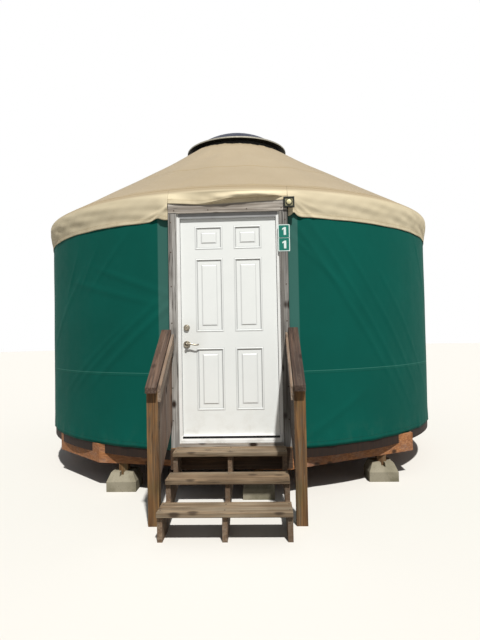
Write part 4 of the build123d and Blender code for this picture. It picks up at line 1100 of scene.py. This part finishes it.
def numberPlates():
    # white backs, green fields and the figure on each, which is a polygon in shares of its height
    x, white, green = plates["x"], enamel["plateWhite"], enamel["plateGreen"]
    front = plates["face"] - plates["thick"]
    fieldWide = plates["width"] - 2 * plates["border"]
    fieldTall = plates["height"] - plates["border"] - 0.0015
    figure = np.array(plates["figure"]) * plates["figureHeight"]
    corners = len(figure)
    sides = [[a, a + corners, (a + 1) % corners + corners, (a + 1) % corners] for a in range(corners)]
    ends = [[0, 1, 2, 3, 6], [3, 4, 5, 6], [13, 10, 9, 8, 7], [13, 12, 11, 10]]
    backs, fields, figures = [], [], []
    for level, shift in zip(plates["levels"], plates["fieldShifts"]):
        backs.append(roundedPlate(x, level, plates["width"], plates["height"], plates["face"], front,
                                  plates["corner"]))
        fields.append(roundedPlate(x, level + shift, fieldWide, fieldTall, front + 0.0002, front - 0.0006,
                                   plates["fieldCorner"]))
        ring = np.stack([x + figure[:, 0], np.zeros(corners), level + figure[:, 1]], axis=1)
        points = np.concatenate([ring + [0, front - 0.0005, 0], ring + [0, front - 0.0011, 0]])
        figures.append((points, sides + ends))
    backPiece = newPiece("plateBacks", *joined(backs), "yurt", white, "plate_green", smooth=False)
    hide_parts("number_plates")
    newPiece("plateFields", *joined(fields), "yurt", green, "plate_green", smooth=False)
    newPiece("plateFigures", *joined(figures), "yurt", white, "plate_green", smooth=False)


lamp = {"x": 0.573, "level": 2.716, "back": -2.4353, "size": 0.100, "bezel": 0.015, "depth": 0.026,
        "lens": 0.026,
        "dish": [(0.024, 0.006), (0.023, 0.000), (0.018, -0.0025), (0.009, -0.0052), (0.0006, -0.0060)]}


def lampShape():
    # a dark square body with a raised bezel, a cream panel inside it, a dark ring and a round lens
    x, level, half, bezel = lamp["x"], lamp["level"], lamp["size"] / 2, lamp["bezel"]
    front = lamp["back"] - lamp["depth"]
    profile = np.array([(half, lamp["back"]), (half, front + 0.005), (half - 0.005, front),
                        (half - bezel + 0.003, front), (half - bezel, front + 0.004),
                        (half - bezel, front + 0.010)])
    corners = np.array([(-1, -1), (1, -1), (1, 1), (-1, 1)], float)
    reach = profile[:, :1]
    rings = np.broadcast_arrays(x + corners[:, 0] * reach, profile[:, 1:], level + corners[:, 1] * reach)
    points = np.stack(rings, axis=-1).reshape(-1, 3)
    last = len(points) - 4
    faces = gridFaces(len(profile), 4, wrapColumns=True).tolist()
    faces += [[3, 2, 1, 0], [last, last + 1, last + 2, last + 3]]
    body = newPiece("lampBody", points, faces, "yurt", enamel["lampBody"], "lamp_black", smooth=False)
    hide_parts("door_lamp")
    inside = half - bezel
    points, faces = box((x - inside, front + 0.006, level - inside),
                        (x + inside, front + 0.0098, level + inside))
    newPiece("lampPanel", points, faces, "yurt", enamel["lampPanel"], "lens_cream", smooth=False)
    path = turned(x, level, front, [(lamp["lens"], 0.004)], 28)[0]
    points, faces = tube(path, 0.0036, 8, closed=True)
    newPiece("lampRing", points, faces, "yurt", enamel["lampBody"], "lamp_black")
    dish = turned(x, level, front, lamp["dish"], 28)
    points, faces = capped(dish.reshape(-1, 3), gridFaces(*dish.shape[:2], wrapColumns=True), 28)
    lens = newPiece("lampLens", points, faces, "yurt", enamel["lens"], "lens_cream")
    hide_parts("lamp_lens")


numberPlates()
lampShape()
print("small pieces made")


# Camera, light and floor
view = {"place": (0.287, -7.12, 1.50), "yaw": 0.0399, "pitch": 0.0291, "roll": -0.0191, "focal": 508.5,
        "pixels": 640, "sensor": 36.0}
studio = {"fill": (0.90, 0.95, 1.0), "fillStrength": 0.22, "sun": 4.35, "sunAngle": 0.035,
          "sunColour": (1.0, 0.99, 0.955), "sunWay": (-0.28, 1.0, -1.62), "floorSeen": "dedbd6",
          "floorLit": "8e8b86"}


def makeCamera():
    # yaw left of +Y, pitch upwards, roll about the line of sight; lens = focal pixels * sensor / pixels
    data = bpy.data.cameras.new("camera")
    camera = bpy.data.objects.new("camera", data)
    scene.collection.objects.link(camera)
    data.sensor_fit = "AUTO"
    data.sensor_width = view["sensor"]
    data.lens = view["focal"] * view["sensor"] / view["pixels"]
    data.clip_start = 0.05
    data.clip_end = 200.0
    yaw, pitch, roll = view["yaw"], view["pitch"], view["roll"]
    ahead = Vector((-np.sin(yaw) * np.cos(pitch), np.cos(yaw) * np.cos(pitch), np.sin(pitch)))
    level = ahead.cross(Vector((0, 0, 1))).normalized()
    upright = level.cross(ahead)
    right = level * np.cos(roll) + upright * np.sin(roll)
    up = upright * np.cos(roll) - level * np.sin(roll)
    turn = Matrix((right, up, -ahead)).transposed().to_4x4()
    camera.matrix_world = Matrix.Translation(view["place"]) @ turn
    scene.camera = camera


def makeStudio():
    # a soft pale world, which camera, glossy and transmission rays see as plain white, and a sun high up at
    # the front right
    world = bpy.data.worlds.new("studio")
    scene.world = world
    world.use_nodes = True
    tree = world.node_tree
    tree.nodes.clear()

    def background(colour, strength):
        made = tree.nodes.new("ShaderNodeBackground")
        made.inputs["Color"].default_value = (*colour, 1)
        made.inputs["Strength"].default_value = strength
        return made.outputs[0]

    def larger(first, second):
        made = tree.nodes.new("ShaderNodeMath")
        made.operation = "MAXIMUM"
        tree.links.new(first, made.inputs[0])
        tree.links.new(second, made.inputs[1])
        return made.outputs[0]

    rays = tree.nodes.new("ShaderNodeLightPath").outputs
    seen = larger(larger(rays["Is Camera Ray"], rays["Is Glossy Ray"]), rays["Is Transmission Ray"])
    mix = tree.nodes.new("ShaderNodeMixShader")
    tree.links.new(seen, mix.inputs[0])
    tree.links.new(background(studio["fill"], studio["fillStrength"]), mix.inputs[1])
    tree.links.new(background((1, 1, 1), 1.0), mix.inputs[2])
    tree.links.new(mix.outputs[0], tree.nodes.new("ShaderNodeOutputWorld").inputs["Surface"])
    light = bpy.data.lights.new("sun", "SUN")
    light.energy = studio["sun"]
    light.angle = studio["sunAngle"]
    light.color = studio["sunColour"]
    sun = bpy.data.objects.new("sun", light)
    sun.rotation_euler = Vector(studio["sunWay"]).to_track_quat("-Z", "Y").to_euler()
    scene.collection.objects.link(sun)


def makeFloor():
    # a plain floor disc made of rings: pale to camera, glossy and transmission rays, and darker to the rest
    radii = np.array([0.0005, 3.0, 8.0, 20.0, 60.0])
    turn = np.linspace(0, 360, 64, endpoint=False)
    points = onRound(turn[None, :], radii[:, None], 0.0)
    mesh = bpy.data.meshes.new("floor")
    mesh.from_pydata(points.reshape(-1, 3).tolist(), [], gridFaces(len(radii), 64, wrapColumns=True).tolist())
    mesh.update()
    floor = bpy.data.objects.new("floor", mesh)
    scene.collection.objects.link(floor)
    paint = Paint("floorPaint", Roughness=0.9, Specular_IOR_Level=0.1)
    camera, glossy, through = (paint.node("ShaderNodeLightPath", {}, {}, f"Is {ray} Ray")
                               for ray in ("Camera", "Glossy", "Transmission"))
    seen = camera.most(glossy).most(through)
    colour = paint.mix(seen, tone(studio["floorLit"]), tone(studio["floorSeen"]))
    mesh.materials.append(paint.set(Base_Color=colour))


makeCamera()
makeStudio()
makeFloor()
scene.view_settings.view_transform = "Standard"
